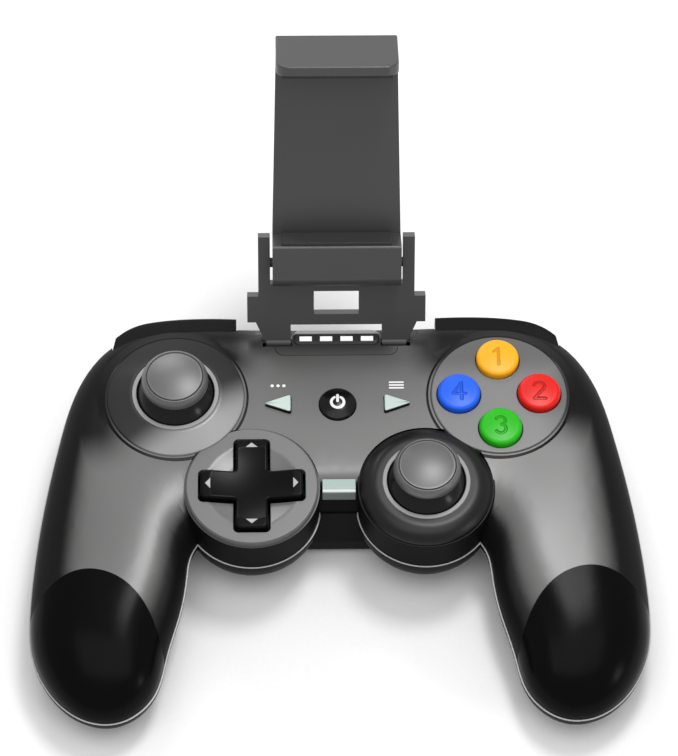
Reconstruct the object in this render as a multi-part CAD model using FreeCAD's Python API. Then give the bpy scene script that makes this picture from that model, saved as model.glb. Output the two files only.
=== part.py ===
import FreeCAD, Part
import math
import os

os.makedirs("parts", exist_ok=True)
V = FreeCAD.Vector

# A wireless gamepad with a folding phone clip, lying on its back with its face up.
# Millimetres. X runs to the right, Y runs away from the player, Z runs up.
# Z = 0 is the surface that it lies on, X = 0 is its midline.

# Casing heights and walls
PARTING_Z = 15.0          # joint between the front and the rear shell, over the middle
FACE_RISE = 10.6          # face above the joint
BELLY_DROP = 11.6         # belly below the joint
WALL = 2.2                # shell wall
RIM_STEP = 0.35           # the rear shell's rim stands out past the front shell
JOINT_GAP = 0.05
FAR = 40.0                # past anything that an upright cut goes through

# Casing stations from the midline out to the right grip. Each is one cross-section:
# outer x, outer y, inner x, inner y, rise, drop, sag of the joint,
# squareness of the outer shoulder, of the inner shoulder and of the belly
HALF_STATIONS = [
    (0.0, 20.0, 0.0, -33.0, FACE_RISE, BELLY_DROP, 0.0, 5.3, 12.0, 3.8),
    (22.0, 20.3, 14.0, -33.6, FACE_RISE, BELLY_DROP, 0.0, 5.3, 12.0, 3.8),
    (42.0, 20.4, 25.0, -36.5, FACE_RISE, BELLY_DROP, 0.0, 5.3, 7.0, 3.8),
    (58.4, 15.6, 32.5, -39.2, FACE_RISE, BELLY_DROP, 0.0, 5.0, 5.0, 3.6),
    (67.3, 2.7, 36.0, -42.2, FACE_RISE, 12.2, 0.0, 4.5, 4.4, 3.3),
    (71.2, -11.5, 38.0, -46.5, 10.8, 13.0, 0.2, 3.8, 4.0, 2.9),
    (74.3, -28.0, 38.9, -53.5, 11.2, 13.6, 0.8, 3.2, 3.5, 2.5),
    (76.7, -46.0, 40.8, -63.0, 11.6, 13.3, 1.8, 2.8, 3.1, 2.3),
    (77.7, -62.0, 43.6, -73.0, 11.9, 12.2, 2.9, 2.5, 2.8, 2.2),
]
TIP_REACH = 22.0          # rounded end of the grip, past the last station
TIP_LEAN = 1.8            # how far the end leans out
TIP_SAG = 4.4             # sag of the joint at the very end
TIP_ANGLES = (25, 45, 62, 76, 90)
ACROSS = 16               # steps across one cross-section

# Pods: the round towers under the cross key and the right stick
POD_X = 22.0
POD_Y = -31.6
POD_R = 17.2
POD_SEAT_Z = 24.9         # top of the tower, where its bezel sits
POD_BELLY_R = 10.5        # rounding of the tower's underside
POD_FLOOR_Z = 3.6
POD_ROOF = 2.0            # thickness under the bezel's seat
POD_BEZEL_R = POD_R - 0.35
JOINT_PAST = 1.0          # how far the hollow is cut past the joint

# Battery hump under the belly: the flat that the gamepad lies on
HUMP_X = 25.0
HUMP_BACK_Y = 8.0
HUMP_FRONT_Y = -36.6
HUMP_TOP_FRONT_Y = -33.4
HUMP_LEAN_Z = 6.0
HUMP_ROUND = 3.0

# Bezels: the trims round the controls
BEZEL_X = 41.4
BEZEL_Y = -5.0
BEZEL_R = 17.5
BEZEL_SEAT_Z = 24.9
BEZEL_EDGE_Z = 26.4
BEZEL_GAP = 0.1
SEAT_R = 19.0             # thickened disc of the shell under a bezel
SEAT_UNDER_Z = 22.4
PLINTH_R = 21.0           # soft skirt round a bezel
PLINTH_TOP_R = 18.1
PLINTH_LOW_Z = 24.0
PLINTH_TOP_Z = 26.0

# Face buttons
BUTTON_R = 5.5
BUTTON_RING = 10.3
BUTTON_TOP_Z = 28.5
BUTTON_ROUND = 0.9
BUTTON_CROWN = 0.35       # rise of its top over its edge
BUTTON_CAP_LOW_Z = 23.0
KEY_GAP = 0.2             # round every key in its hole
FLANGE_LIP = 1.1          # how far a key's flange reaches under the shell
FLANGE_T = 1.0
FLANGE_GAP = 0.2          # under the ceiling
BUTTON_STEM_R = 3.2
STEM_END_Z = 19.5

# Keys in the middle of the face
CEILING_Z = PARTING_Z + FACE_RISE - WALL
KEY_Y = -7.3
ARROW_TIP_X = 18.9
ARROW_BASE_X = 12.0
ARROW_HALF = 2.6
ARROW_TOP_Z = 26.7
ARROW_ROUND = 0.5
ARROW_BEVEL = 0.25
ARROW_STEM = 2.6          # from the cap's base line to its stem
ARROW_LIP = 1.6
HOME_R = 4.7
HOME_TOP_Z = 27.3
HOME_EDGE_Z = 26.2
SMALL_STEM_R = 2.2
KEY_FLANGE_TOP_Z = CEILING_Z - 0.35
BAR_HALF_X = 4.15
BAR_BACK_Y = -29.7
BAR_FRONT_Y = -33.3
BAR_TOP_Z = 26.1
BAR_LOW_Z = 22.0
BAR_T = 1.6
BAR_GAP = 0.25
BAR_STEM_Y = -25.5
BAR_FOLD_R = 1.2

# Cross key
CROSS_REACH = 12.9
CROSS_HALF = 4.0
CROSS_TOP_Z = 28.0
CROSS_SINK = 1.1          # hollow of its top
CROSS_BASE_Z = 20.3
CROSS_FLANGE_R = 11.6
CROSS_GAP = 0.65
CROSS_ROUND = 1.3
CROSS_PIVOT_Z = 19.5
PIVOT_BALL_R = 1.9
PIVOT_CUP_GAP = 0.1
PIVOT_PLATE_R = 6.0
PIVOT_PLATE_LOW_Z = 18.2
PIVOT_PLATE_T = 0.8
CROSS_HOLLOW_R = CROSS_REACH - 2.2
DISH_R = 12.3
DISH_DEPTH = 1.5
CROSS_BEZEL_T = 1.7

# Sticks
STICK_PIVOT_Z = 22.0
DOME_R = 11.5
DOME_WALL = 1.2
DOME_SKIRT_DEG = 16.0     # lower edge of the dome, up from the pivot's level
NECK_R = 6.4
CAP_R = 8.5
CAP_LOW_Z = 33.4
CAP_EDGE_Z = 34.7
CAP_PAD_R = 7.1
CAP_PAD_Z = 36.2
CAP_TOP_Z = 37.0
SHAFT_R = 2.0
SHAFT_SHOULDER_R = 3.2
SHAFT_SHOULDER_Z = 24.0
SHAFT_END_Z = 18.0
COLLAR_OUT_R = 11.1
COLLAR_IN_R = 10.0
COLLAR_LOW_Z = 27.4
COLLAR_TOP_Z = 28.5
DOME_GAP = 0.4
STICK_HOLE_R = 12.0
MODULE_HALF = 8.5
MODULE_BOX_TOP_Z = 19.4
MODULE_DRUM_R = 9.4
MODULE_DRUM_TOP_Z = 24.0
MODULE_BORE_R = 7.45
MODULE_FLOOR = 1.4
YOKE_OUT_R = 7.0
YOKE_IN_R = 5.4
YOKE_HALF_Z = 1.4
YOKE_PIN_R = 0.9
GIMBAL_R = 4.0
GIMBAL_HALF_Z = 1.1
GIMBAL_PIN_R = 0.8
RUNNING_GAP = 0.05

# Boards, pads and battery
BOARD_TOP_Z = 15.0
BOARD_T = 1.6
BOARD_HALF_X = 57.0
BOARD_BACK_Y = 9.4
BOARD_MID_Y = -19.0
BOARD_LOW_HALF_X = 43.0
BOARD_LOW_Y = -46.0
BOARD_MARGIN = 0.6
PAD_SHEET_T = 1.0
PAD_DOME_WALL = 0.8
PAD_DOME_ROOF = 1.0
DOME_PAD_TOP_Z = STEM_END_Z - 0.2
BUTTON_DOME = (4.0, 2.9)      # radii of a rubber dome, below and above
KEY_DOME = (3.8, 2.4)
CROSS_DOME = (2.8, 1.7)
CROSS_DOME_RING = 9.2
CROSS_DOME_TOP_Z = 19.9
CROSS_NUB_R = 1.5
BUTTON_SHEET_R = BUTTON_RING + 4.2
CROSS_SHEET_R = 12.4
KEY_SHEET = (42.0, 12.0)      # the sheet under the arrow keys, and its leg to the bar key
KEY_SHEET_LEG = 10.0
KEY_SHEET_PAST = 4.2
BATTERY = (37.0, 30.0, 6.0)
BATTERY_Y = -14.0
BATTERY_ROUND = 1.2

# Charging socket in the back wall, and the slot for its plug
SOCKET = (7.5, 5.6, 2.6)
SOCKET_Y = 13.9
SOCKET_WALL = 0.4
SOCKET_BACK = 0.6
SOCKET_TONGUE = (4.4, 4.0, 0.6)
PLUG_WIDE = 8.4
PLUG_HIGH = 3.2
PLUG_LOW_Z = 14.75
PLUG_Y = 15.5

# Shoulder switch boards, upright behind the shoulder buttons
SWITCH_BOARD_Y = 9.7
SWITCH_BOARD_T = 1.0
SWITCH_BOARD_LOW_Z = 7.9
SWITCH_BOARD_TOP_Z = 19.6    # under the pressed flange of the back face button
BOARD_RIB = (37.0, 49.0)
SWITCH_HALF = 2.1
SWITCH_DEEP = 3.6
PLUNGER_R = 1.5
PLUNGER_END_Y = 15.7

# Fasteners
SHELL_SCREWS = [(58.0, -66.0), (60.0, -17.0), (23.0, 2.0)]
POST_R = 4.0
SPIGOT_R = 2.6
SCREW_R = 1.25
SCREW_HEAD_R = 2.4
SCREW_HEAD_T = 1.6
SCREW_SEAT_Z = 6.0
SCREW_END_Z = 20.6
BOSS_R = 3.0
BOARD_SCREWS = [(38.5, -23.5), (28.5, 6.4)]
BOARD_POST_R = 3.0
BOARD_SCREW_R = 1.0
BOARD_HEAD_R = 1.9
BOARD_HEAD_T = 1.1
BOARD_SCREW_END_Z = 9.5
RECESS = (2.2, 0.5)       # length and width of a driver recess's bars
SHELL_RECESS = 0.9        # its depth
BOARD_RECESS = 0.6

# Folding bracket and phone clip, drawn flat and then leaned back on the hinge
LEAN_DEG = 57.0           # rise of the clip's plate from the level
HINGE_Y = 13.2
HINGE_Z = 23.4
HINGE_PIN_R = 0.8
HINGE_PIN_IN_X = 11.3
HINGE_PIN_OUT_X = 21.2
CHEEK_OUT_X = 22.0        # outer bearing of the hinge pins, under the shell's roof
KNUCKLE_R = 1.9
KNUCKLE_GAP = 0.5
PIT_SIDE = 1.0            # room beside a tab
PIT_DROP = 2.6            # floor of the tabs' room at the back, below the hinge
BRACKET_T = 3.0
TAB_IN_X = 11.8
TAB_OUT_X = 18.1
TAB_SHOULDER_X = 20.8
SHOULDER_X = 23.0
SHOULDER_LOW = 6.3
SHOULDER_TOP = 13.6
WEB_LOW = 5.6
WEB_TOP = 17.0
WINDOW_HALF = 5.8
WINDOW_LOW = 8.55
WINDOW_TOP = 15.0
ARM_OUT_X = 20.1
ARM_IN_X = 17.05
ARM_TOP = 30.1
TILT_S = 22.5             # the clip's pivot, up the bracket from the hinge
TILT_PIN_R = 1.25
TILT_PIN_REACH = 19.4     # each way from the midline
JAW_HALF = 16.4
JAW_LOW = 19.0
JAW_TOP = 31.0
JAW_FRONT = 10.0
JAW_ROUND = 3.5
PLATE_FRONT = 1.5
PLATE_BACK = -3.5
COVER_T = 1.2
CHANNEL_HALF = 12.6
TONGUE_T = 2.2
TONGUE_LOW = 34.0
TONGUE_GAP = 0.2
HEAD_LOW = 77.5
HEAD_LIP = 80.1
HEAD_TOP = 82.8
HEAD_FRONT = 12.5
HEAD_HALF = 15.3
HEAD_GAP = 0.3
HEAD_ROUND = 3.5
PAD_T = 0.8
SPRING_X = 6.1
SPRING_R = 1.0
SLOT_HALF = 1.5
SLOT_TOP = 70.0
HOOK_S = 36.0
HOOK_R = 0.8
COVER_SCREW_S = (36.0, 72.0)
COVER_SCREW_X = 14.0
COVER_SCREW_R = 0.7
COVER_HEAD_R = 1.3
COVER_SEAT = 0.7          # depth of a head's seat
JAW_EDGE_R = 0.8
JAW_ROOM = (28.0, 4.6, 10.2)  # hollow of the lower jaw

# Panel in the back of the face that holds the bracket's hinge and the light window
PANEL_HALF = 15.8
PANEL_FRONT_Y = 7.9
PANEL_BACK_Y = 17.0
PANEL_LOW_Z = 21.0
PANEL_ROUND = 2.5
PANEL_GAP = 0.12
LEDGE_T = 1.8
LIGHT_HALF_X = 11.05
LIGHT_FRONT_Y = 11.4
LIGHT_BACK_Y = 15.8
LIGHT_TOP_Z = 25.6
LIGHT_LOW_Z = 22.1
LIGHT_ROUND = 1.8
LIGHT_ROW_Y = 13.0
LIGHT_STEP = 5.3
LIGHT_BAR = (3.15, 1.35)
LIGHT_COUNT = 4
LIGHT_BEVEL = 0.6
LIGHT_SINK = 0.45         # sunk strip round the slots
LIGHT_GAP = 0.1
GUIDE_WEB = (19.6, 3.2, 1.0)
GUIDE_Y = 11.5
GUIDE_DROP = 1.1
GUIDE_ROOM = (20.5, 3.8, 8.0)
GUIDE_ROOM_Y = 11.2
GUIDE_ROOM_Z = 16.0
STATUS_LAMP = (1.6, 0.8, 0.7)

# Grip panels
GRIP_X = 63.0
GRIP_Y = -84.0
GRIP_HALF_X = 20.0
GRIP_HALF_Y = 30.0
GRIP_T = 0.8

# Shoulder buttons and triggers
BUMPER_IN_X = 26.0
BUMPER_OUT_X = 58.0
BUMPER_LOW_Z = 16.6
BUMPER_TOP_Z = 21.4
BUMPER_FRONT_Y = 12.6
BUMPER_SWING = 1.9        # room behind its outer end for the press
BUMPER_WALL = 2.0
BUMPER_PROUD = 1.7        # how far it stands out past the casing's outline
BUMPER_ROUND = 1.3
BUMPER_STATIONS = 6       # casing stations that its outline is drawn through
BUMPER_GAP = 0.35
BUMPER_PIN_X = 28.6
BUMPER_PIN_Y = 15.6
BUMPER_PIN_R = 0.8
BUMPER_PIN_LOW_Z = 13.2
BUMPER_PIN_TOP_Z = 22.9
BUMPER_HUB_R = 1.9
BUMPER_ARM = 4.4          # from its pin back to the bar
TRIGGER_IN_X = 32.4
TRIGGER_OUT_X = 52.0
TRIGGER_SLOT_Z = (7.4, 14.2)
TRIGGER_GAP = 0.4
TRIGGER_PIN_Y = 13.0
TRIGGER_PIN_Z = 11.4
TRIGGER_PIN_R = 1.0
TRIGGER_HUB_R = 2.0
TRIGGER_EAR_T = 1.8
TRIGGER_EAR_HALF = 2.6
TRIGGER_PIN_END = 1.6     # the pin's reach into its ears
TRIGGER_COIL_R = 1.8
TRIGGER_COIL_X = (34.0, 38.0)
TRIGGER_COIL_GAP = 0.3
TRIGGER_BLADE = [         # its outline from the side, (y, z) from its pin
    (0.0, -1.6), (0.0, 1.6), (7.6, 2.2), (11.5, 0.6), (13.8, -2.4), (14.4, -6.0), (12.6, -6.2),
    (11.6, -3.2), (9.4, -1.4), (6.6, -0.9),
]
TRIGGER_BACK = 14.0       # its reach behind its pin
TRIGGER_ROUND = 6.0       # corners of its blade, seen from above


def rounded_box(half_x, front_y, back_y, low_z, top_z, radius):
    """An upright block with rounded corners, centred on the midline."""
    block = Part.makeBox(2 * half_x, back_y - front_y, top_z - low_z, V(-half_x, front_y, low_z))
    upright = [e for e in block.Edges if abs(e.tangentAt(e.FirstParameter).z) > 0.9]
    return block.makeFillet(radius, upright)


def extrude_x(points, x0, x1):
    """A closed outline of (y, z) points, extruded from x0 to x1."""
    corners = [V(x0, y, z) for y, z in points]
    face = Part.Face(Part.makePolygon(corners + corners[:1]))
    return face.extrude(V(x1 - x0, 0, 0))


def extrude_z(points, z0, z1):
    """A closed outline of (x, y) points, extruded from z0 to z1."""
    corners = [V(x, y, z0) for x, y in points]
    face = Part.Face(Part.makePolygon(corners + corners[:1]))
    return face.extrude(V(0, 0, z1 - z0))


def turned(points, x, y):
    """A closed outline of (radius, z) points, turned about the upright line at x, y."""
    corners = [V(r, 0, z) for r, z in points]
    face = Part.Face(Part.makePolygon(corners + corners[:1]))
    body = face.revolve(V(0, 0, 0), V(0, 0, 1), 360)
    body.translate(V(x, y, 0))
    return body


def disc(r, x, y, z0, z1):
    """An upright round bar from z0 to z1."""
    return Part.makeCylinder(r, z1 - z0, V(x, y, z0))


def bar_x(r, x0, x1, y, z):
    """A round bar along X."""
    return Part.makeCylinder(r, x1 - x0, V(x0, y, z), V(1, 0, 0))


def bar_y(r, y0, y1, x, z):
    """A round bar along Y."""
    return Part.makeCylinder(r, y1 - y0, V(x, y0, z), V(0, 1, 0))


def mirrored(shape):
    """The same piece on the other side of the midline."""
    return shape.mirror(V(0, 0, 0), V(1, 0, 0))


def fused(first, *others):
    """One solid from several that touch."""
    return first.fuse(list(others)).removeSplitter()


def joined(body, pieces):
    """A body with pieces added one after the other."""
    for piece in pieces:
        body = body.fuse(piece)
    return body


def pierced(body, tools):
    """A body with cuts taken out one after the other."""
    for tool in tools:
        body = body.cut(tool)
    return body


def inset_half(inset):
    """The right half's stations, moved in from both outlines by inset."""
    moved = []
    for k, (ox, oy, ix, iy, rise, drop, sag, n_out, n_in, n_low) in enumerate(HALF_STATIONS):
        before = HALF_STATIONS[max(k - 1, 0)]
        after = HALF_STATIONS[min(k + 1, len(HALF_STATIONS) - 1)]
        out_run = V(after[0] - before[0], after[1] - before[1], 0)
        in_run = V(after[2] - before[2], after[3] - before[3], 0)
        if k == 0:
            out_run = V(1, 0, 0)
            in_run = V(1, 0, 0)
        out_run.normalize()
        in_run.normalize()
        moved.append((
            ox + out_run.y * inset,
            oy - out_run.x * inset,
            ix - in_run.y * inset,
            iy + in_run.x * inset,
            rise - inset,
            drop - inset,
            sag,
            n_out,
            n_in,
            n_low,
        ))
    return moved


def all_stations(inset):
    """Every cross-section from the left grip's end to the right grip's end."""
    half = inset_half(inset)
    ox, oy, ix, iy, rise, drop, sag, n_out, n_in, n_low = half[-1]
    mid = V((ox + ix) / 2, (oy + iy) / 2, 0)
    reach = TIP_REACH - inset
    for angle in TIP_ANGLES:
        c = math.cos(math.radians(angle))
        s = math.sin(math.radians(angle))
        x = mid.x + TIP_LEAN * s
        y = mid.y - reach * s
        half.append((
            x + (ox - mid.x) * c,
            y + (oy - mid.y) * c,
            x + (ix - mid.x) * c,
            y + (iy - mid.y) * c,
            rise * c,
            drop * c,
            sag + (TIP_SAG - sag) * s,
            n_out,
            n_in,
            n_low,
        ))
    left = [(-st[0], st[1], -st[2], st[3]) + st[4:] for st in reversed(half[1:])]
    return left + half


def casing_face(inset, upper, blunt=False):
    """The casing's upper or lower surface: rise * sqrt(1 - |q| ** n) over each chord."""
    rows = []
    stations = all_stations(inset)
    if blunt:
        stations = stations[1:-1]
    for ox, oy, ix, iy, rise, drop, sag, n_out, n_in, n_low in stations:
        row = []
        for j in range(ACROSS + 1):
            q = -math.cos(math.pi * j / ACROSS)
            power = n_low
            if upper:
                power = n_out if q < 0 else n_in
            bulge = math.sqrt(max(0.0, 1 - abs(q) ** power))
            z = PARTING_Z - sag + (rise * bulge if upper else -drop * bulge - JOINT_GAP)
            row.append(V((ox + ix) / 2 + (ix - ox) / 2 * q, (oy + iy) / 2 + (iy - oy) / 2 * q, z))
        rows.append(row)
    surface = Part.BSplineSurface()
    surface.interpolate(rows)
    return surface.toShape()


def rims(face):
    """The two long edges of a casing surface."""
    return sorted([e for e in face.Edges if not e.Degenerated], key=lambda e: e.Length)[-2:]


def closed_solid(faces):
    """A solid from faces that meet along their edges."""
    shell = Part.makeShell(faces)
    shell.sewShape()
    solid = Part.Solid(shell)
    if solid.Volume < 0:
        solid.reverse()
    return solid


def casing_half(inset, upper):
    """Upper or lower half of the casing, closed along the joint."""
    face = casing_face(inset, upper)
    a, b = rims(face)
    return closed_solid([face, Part.makeRuledSurface(a, b)])


def casing_room(inset, upper):
    """The inside of one half: inset, cut off square in the grips' tips, taken past the joint."""
    face = casing_face(inset, upper, True)
    by_length = sorted(face.Edges, key=lambda e: e.Length)
    down = V(0, 0, -JOINT_PAST if upper else JOINT_PAST)
    faces = [face]
    low = []
    for rim in by_length[2:]:
        faces.append(rim.extrude(down))
        moved = rim.copy()
        moved.translate(down)
        low.append(moved)
    faces.append(Part.makeRuledSurface(low[0], low[1]))
    for end in by_length[:2]:
        p = end.valueAt(end.FirstParameter)
        q = end.valueAt(end.LastParameter)
        legs = [end, Part.makeLine(q, q + down), Part.makeLine(q + down, p + down),
                Part.makeLine(p + down, p)]
        faces.append(Part.Face(Part.Wire(Part.__sortEdges__(legs))))
    return closed_solid(faces)


def both_pods(r, z0, z1):
    """The two towers as round bars."""
    return [disc(r, s * POD_X, POD_Y, z0, z1) for s in (-1, 1)]


def hump(inset):
    """The battery hump: flat below, its front face leaning back to the joint."""
    front = HUMP_FRONT_Y + inset
    back = HUMP_BACK_Y - inset
    low = inset
    block = extrude_x(
        [(front, low), (back, low), (back, PARTING_Z), (HUMP_TOP_FRONT_Y + inset, PARTING_Z),
         (front, HUMP_LEAN_Z)],
        inset - HUMP_X, HUMP_X - inset)
    bottom = [e for e in block.Edges if e.BoundBox.ZMax < low + 0.01]
    return block.makeFillet(max(HUMP_ROUND - inset, 0.6), bottom)


def hollow(upper):
    """The room inside one half of the casing, reaching a little past the joint."""
    room = casing_room(WALL, upper)
    if upper:
        return room.fuse(both_pods(POD_R - WALL, PARTING_Z - JOINT_PAST, POD_SEAT_Z - POD_ROOF))
    extra = [hump(WALL)]
    for pod in both_pods(POD_R - WALL, POD_FLOOR_Z + WALL, PARTING_Z + JOINT_PAST):
        low = [e for e in pod.Edges if e.BoundBox.ZMax < POD_FLOOR_Z + WALL + 0.01]
        extra.append(pod.makeFillet(POD_BELLY_R - WALL, low))
    return room.fuse(extra)


def face_plan_points():
    """Centres of the four face buttons: right, top, left, bottom."""
    spots = []
    for k in range(4):
        a = math.radians(90 * k)
        spots.append((BEZEL_X + BUTTON_RING * math.cos(a), BEZEL_Y + BUTTON_RING * math.sin(a)))
    return spots


def arrow_prism(side, grow, z0, z1):
    """A three-cornered key pointing away from the midline."""
    tip = ARROW_TIP_X + 2.2 * grow
    base = ARROW_BASE_X - grow
    half = ARROW_HALF + 1.5 * grow
    block = extrude_z(
        [(side * base, KEY_Y - half), (side * tip, KEY_Y), (side * base, KEY_Y + half)], z0, z1)
    upright = [e for e in block.Edges if abs(e.tangentAt(e.FirstParameter).z) > 0.9]
    return block.makeFillet(ARROW_ROUND, upright)


def cross_prism(reach, half, z0, z1, radius):
    """A plus-shaped block centred on the left tower, with rounded outer corners."""
    arms = [Part.makeBox(2 * reach, 2 * half, z1 - z0, V(-POD_X - reach, POD_Y - half, z0)),
            Part.makeBox(2 * half, 2 * reach, z1 - z0, V(-POD_X - half, POD_Y - reach, z0))]
    block = fused(arms[0], arms[1])
    upright = []
    for e in block.Edges:
        far = max(abs(e.CenterOfMass.x + POD_X), abs(e.CenterOfMass.y - POD_Y))
        if abs(e.tangentAt(e.FirstParameter).z) > 0.9 and far > reach - 0.1:
            upright.append(e)
    return block.makeFillet(radius, upright)


def leaned(shape):
    """A piece drawn as x, distance up the plate and height off it, set at the hinge."""
    placed = shape.copy()
    placed.rotate(V(0, 0, 0), V(1, 0, 0), LEAN_DEG)
    placed.translate(V(0, HINGE_Y, HINGE_Z))
    return placed


def control_holes():
    """What is cut through the front shell for the keys and sticks."""
    holes = []
    for x, y in face_plan_points():
        holes.append(disc(BUTTON_R + KEY_GAP, x, y, PARTING_Z + 1, FAR))
    for side in (-1, 1):
        holes.append(arrow_prism(side, KEY_GAP, PARTING_Z + 1, FAR))
    holes.append(disc(HOME_R + KEY_GAP, 0, KEY_Y, PARTING_Z + 1, FAR))
    holes.append(disc(STICK_HOLE_R, -BEZEL_X, BEZEL_Y, PARTING_Z + 1, FAR))
    holes.append(disc(STICK_HOLE_R, POD_X, POD_Y, PARTING_Z + 1, FAR))
    holes.append(cross_prism(CROSS_REACH + CROSS_GAP, CROSS_HALF + CROSS_GAP,
                             PARTING_Z + 1, FAR, CROSS_ROUND))
    reach = BAR_HALF_X + BAR_GAP
    holes.append(Part.makeBox(2 * reach, BAR_BACK_Y + BAR_GAP - BAR_FRONT_Y + 2, FAR,
                              V(-reach, BAR_FRONT_Y - 2, BAR_LOW_Z - 1.2)))
    holes.append(Part.makeBox(2 * reach, BAR_STEM_Y + SMALL_STEM_R + BAR_GAP - BAR_BACK_Y,
                              KEY_FLANGE_TOP_Z + BAR_GAP - PARTING_Z - 2,
                              V(-reach, BAR_BACK_Y, PARTING_Z + 2)))
    return holes


def hinge_pin():
    """The pin of the bracket's right tab."""
    return bar_x(HINGE_PIN_R, HINGE_PIN_IN_X, HINGE_PIN_OUT_X, HINGE_Y, HINGE_Z)


def tab_pits():
    """Room for the bracket's two tabs to turn in: round the knuckle, open to the back."""
    r = KNUCKLE_R + KNUCKLE_GAP
    back = HINGE_Y + 11.0
    top = HINGE_Z + 7.0
    low = HINGE_Z - PIT_DROP
    narrow = (TAB_IN_X - 0.3, TAB_OUT_X + PIT_SIDE)
    wide = (TAB_IN_X - 0.3, TAB_SHOULDER_X + 0.4)
    pit = [
        bar_x(r, narrow[0], narrow[1], HINGE_Y, HINGE_Z),
        extrude_x([(HINGE_Y - r, HINGE_Z), (HINGE_Y - r, top), (back, top), (back, low),
                   (HINGE_Y + 1.2, HINGE_Z - r + 0.3)], narrow[0], narrow[1]),
        extrude_x([(HINGE_Y + 2.2, HINGE_Z - 1.2), (HINGE_Y + 2.2, top), (back, top), (back, low)],
                  wide[0], wide[1]),
    ]
    return pit + [mirrored(cut) for cut in pit]


def panel_prism(gap, low_z):
    """Plan of the hinge panel, grown by gap."""
    return rounded_box(PANEL_HALF + gap, PANEL_FRONT_Y - gap, PANEL_BACK_Y + gap, low_z, FAR,
                       PANEL_ROUND)


def grip_prism(side):
    """Plan of a grip panel: an upright oval bar."""
    oval = Part.Ellipse(V(side * GRIP_X, GRIP_Y, 0), GRIP_HALF_Y, GRIP_HALF_X)
    edge = oval.toShape()
    edge.rotate(V(side * GRIP_X, GRIP_Y, 0), V(0, 0, 1), 90)
    return Part.Face(Part.Wire(edge)).extrude(V(0, 0, FAR))


def bumper_zone(gap, swing):
    """The block of the right back corner that the shoulder button takes up."""
    x0 = BUMPER_IN_X - gap
    x1 = BUMPER_OUT_X + gap
    y0 = BUMPER_FRONT_Y - gap
    return extrude_z([(x0, y0), (x1, y0 - swing), (x1, FAR), (x0, FAR)],
                     BUMPER_LOW_Z - gap, BUMPER_TOP_Z + gap)


def pin_lug(x0, x1, low_z, top_z, y0, y1):
    """An upright lug between two heights."""
    return Part.makeBox(x1 - x0, y1 - y0, top_z - low_z, V(x0, y0, low_z))


def front_shell(upper, grip_cores):
    """Front shell: casing half, towers and plinths, hollowed and pierced."""
    adds = both_pods(POD_R, PARTING_Z, POD_SEAT_Z)
    for side in (-1, 1):
        adds.append(turned([(0, PLINTH_LOW_Z), (PLINTH_R, PLINTH_LOW_Z), (PLINTH_TOP_R, PLINTH_TOP_Z),
                            (0, PLINTH_TOP_Z)], side * BEZEL_X, BEZEL_Y))
    shell = joined(upper, adds).cut(hollow(True))
    inner = []
    for side in (-1, 1):
        inner.append(disc(SEAT_R, side * BEZEL_X, BEZEL_Y, SEAT_UNDER_Z, BEZEL_SEAT_Z))
    inner.append(Part.makeBox(2 * (PANEL_HALF + 2.4), PANEL_BACK_Y - PANEL_FRONT_Y + 3.2, LEDGE_T,
                              V(-PANEL_HALF - 2.4, PANEL_FRONT_Y - 1.6,
                                PANEL_LOW_Z - PANEL_GAP - LEDGE_T)).common(upper))
    cheek = pin_lug(TAB_OUT_X + PIT_SIDE, CHEEK_OUT_X, PANEL_LOW_Z - PANEL_GAP - LEDGE_T, FAR,
                    HINGE_Y - 2.6, HINGE_Y + 2.2).common(upper)
    inner += [cheek, mirrored(cheek)]
    for side in (-1, 1):
        for x, y in SHELL_SCREWS:
            inner.append(disc(BOSS_R, side * x, y, PARTING_Z + 0.05, 30).common(upper))
    shell = joined(shell, inner)
    cuts = control_holes() + tab_pits()
    for side in (-1, 1):
        cuts.append(disc(BEZEL_R + BEZEL_GAP, side * BEZEL_X, BEZEL_Y, BEZEL_SEAT_Z, FAR))
        cuts.append(disc(POD_R, side * POD_X, POD_Y, POD_SEAT_Z, FAR))
        for x, y in SHELL_SCREWS:
            cuts.append(disc(SCREW_R + RUNNING_GAP, side * x, y, 0, SCREW_END_Z + 0.3))
        cuts.append(disc(BUMPER_PIN_R, side * BUMPER_PIN_X, BUMPER_PIN_Y, BUMPER_PIN_LOW_Z,
                         BUMPER_PIN_TOP_Z))
    cuts += [hinge_pin(), mirrored(hinge_pin())]
    cuts.append(panel_prism(PANEL_GAP, PANEL_LOW_Z - PANEL_GAP))
    cuts.append(guide_room())
    opening = bumper_zone(BUMPER_GAP, BUMPER_SWING)
    cuts += [opening, mirrored(opening)]
    cuts.append(usb_opening())
    return pierced(shell, cuts + grip_cores)


def usb_opening():
    """The slot in the back wall for the charging plug."""
    return Part.makeBox(PLUG_WIDE, 8, PLUG_HIGH, V(-PLUG_WIDE / 2, PLUG_Y, PLUG_LOW_Z))


def guide_room():
    """Room under the light window for its guide."""
    x, y, z = GUIDE_ROOM
    return Part.makeBox(x, y, z, V(-x / 2, GUIDE_ROOM_Y, GUIDE_ROOM_Z))


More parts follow.
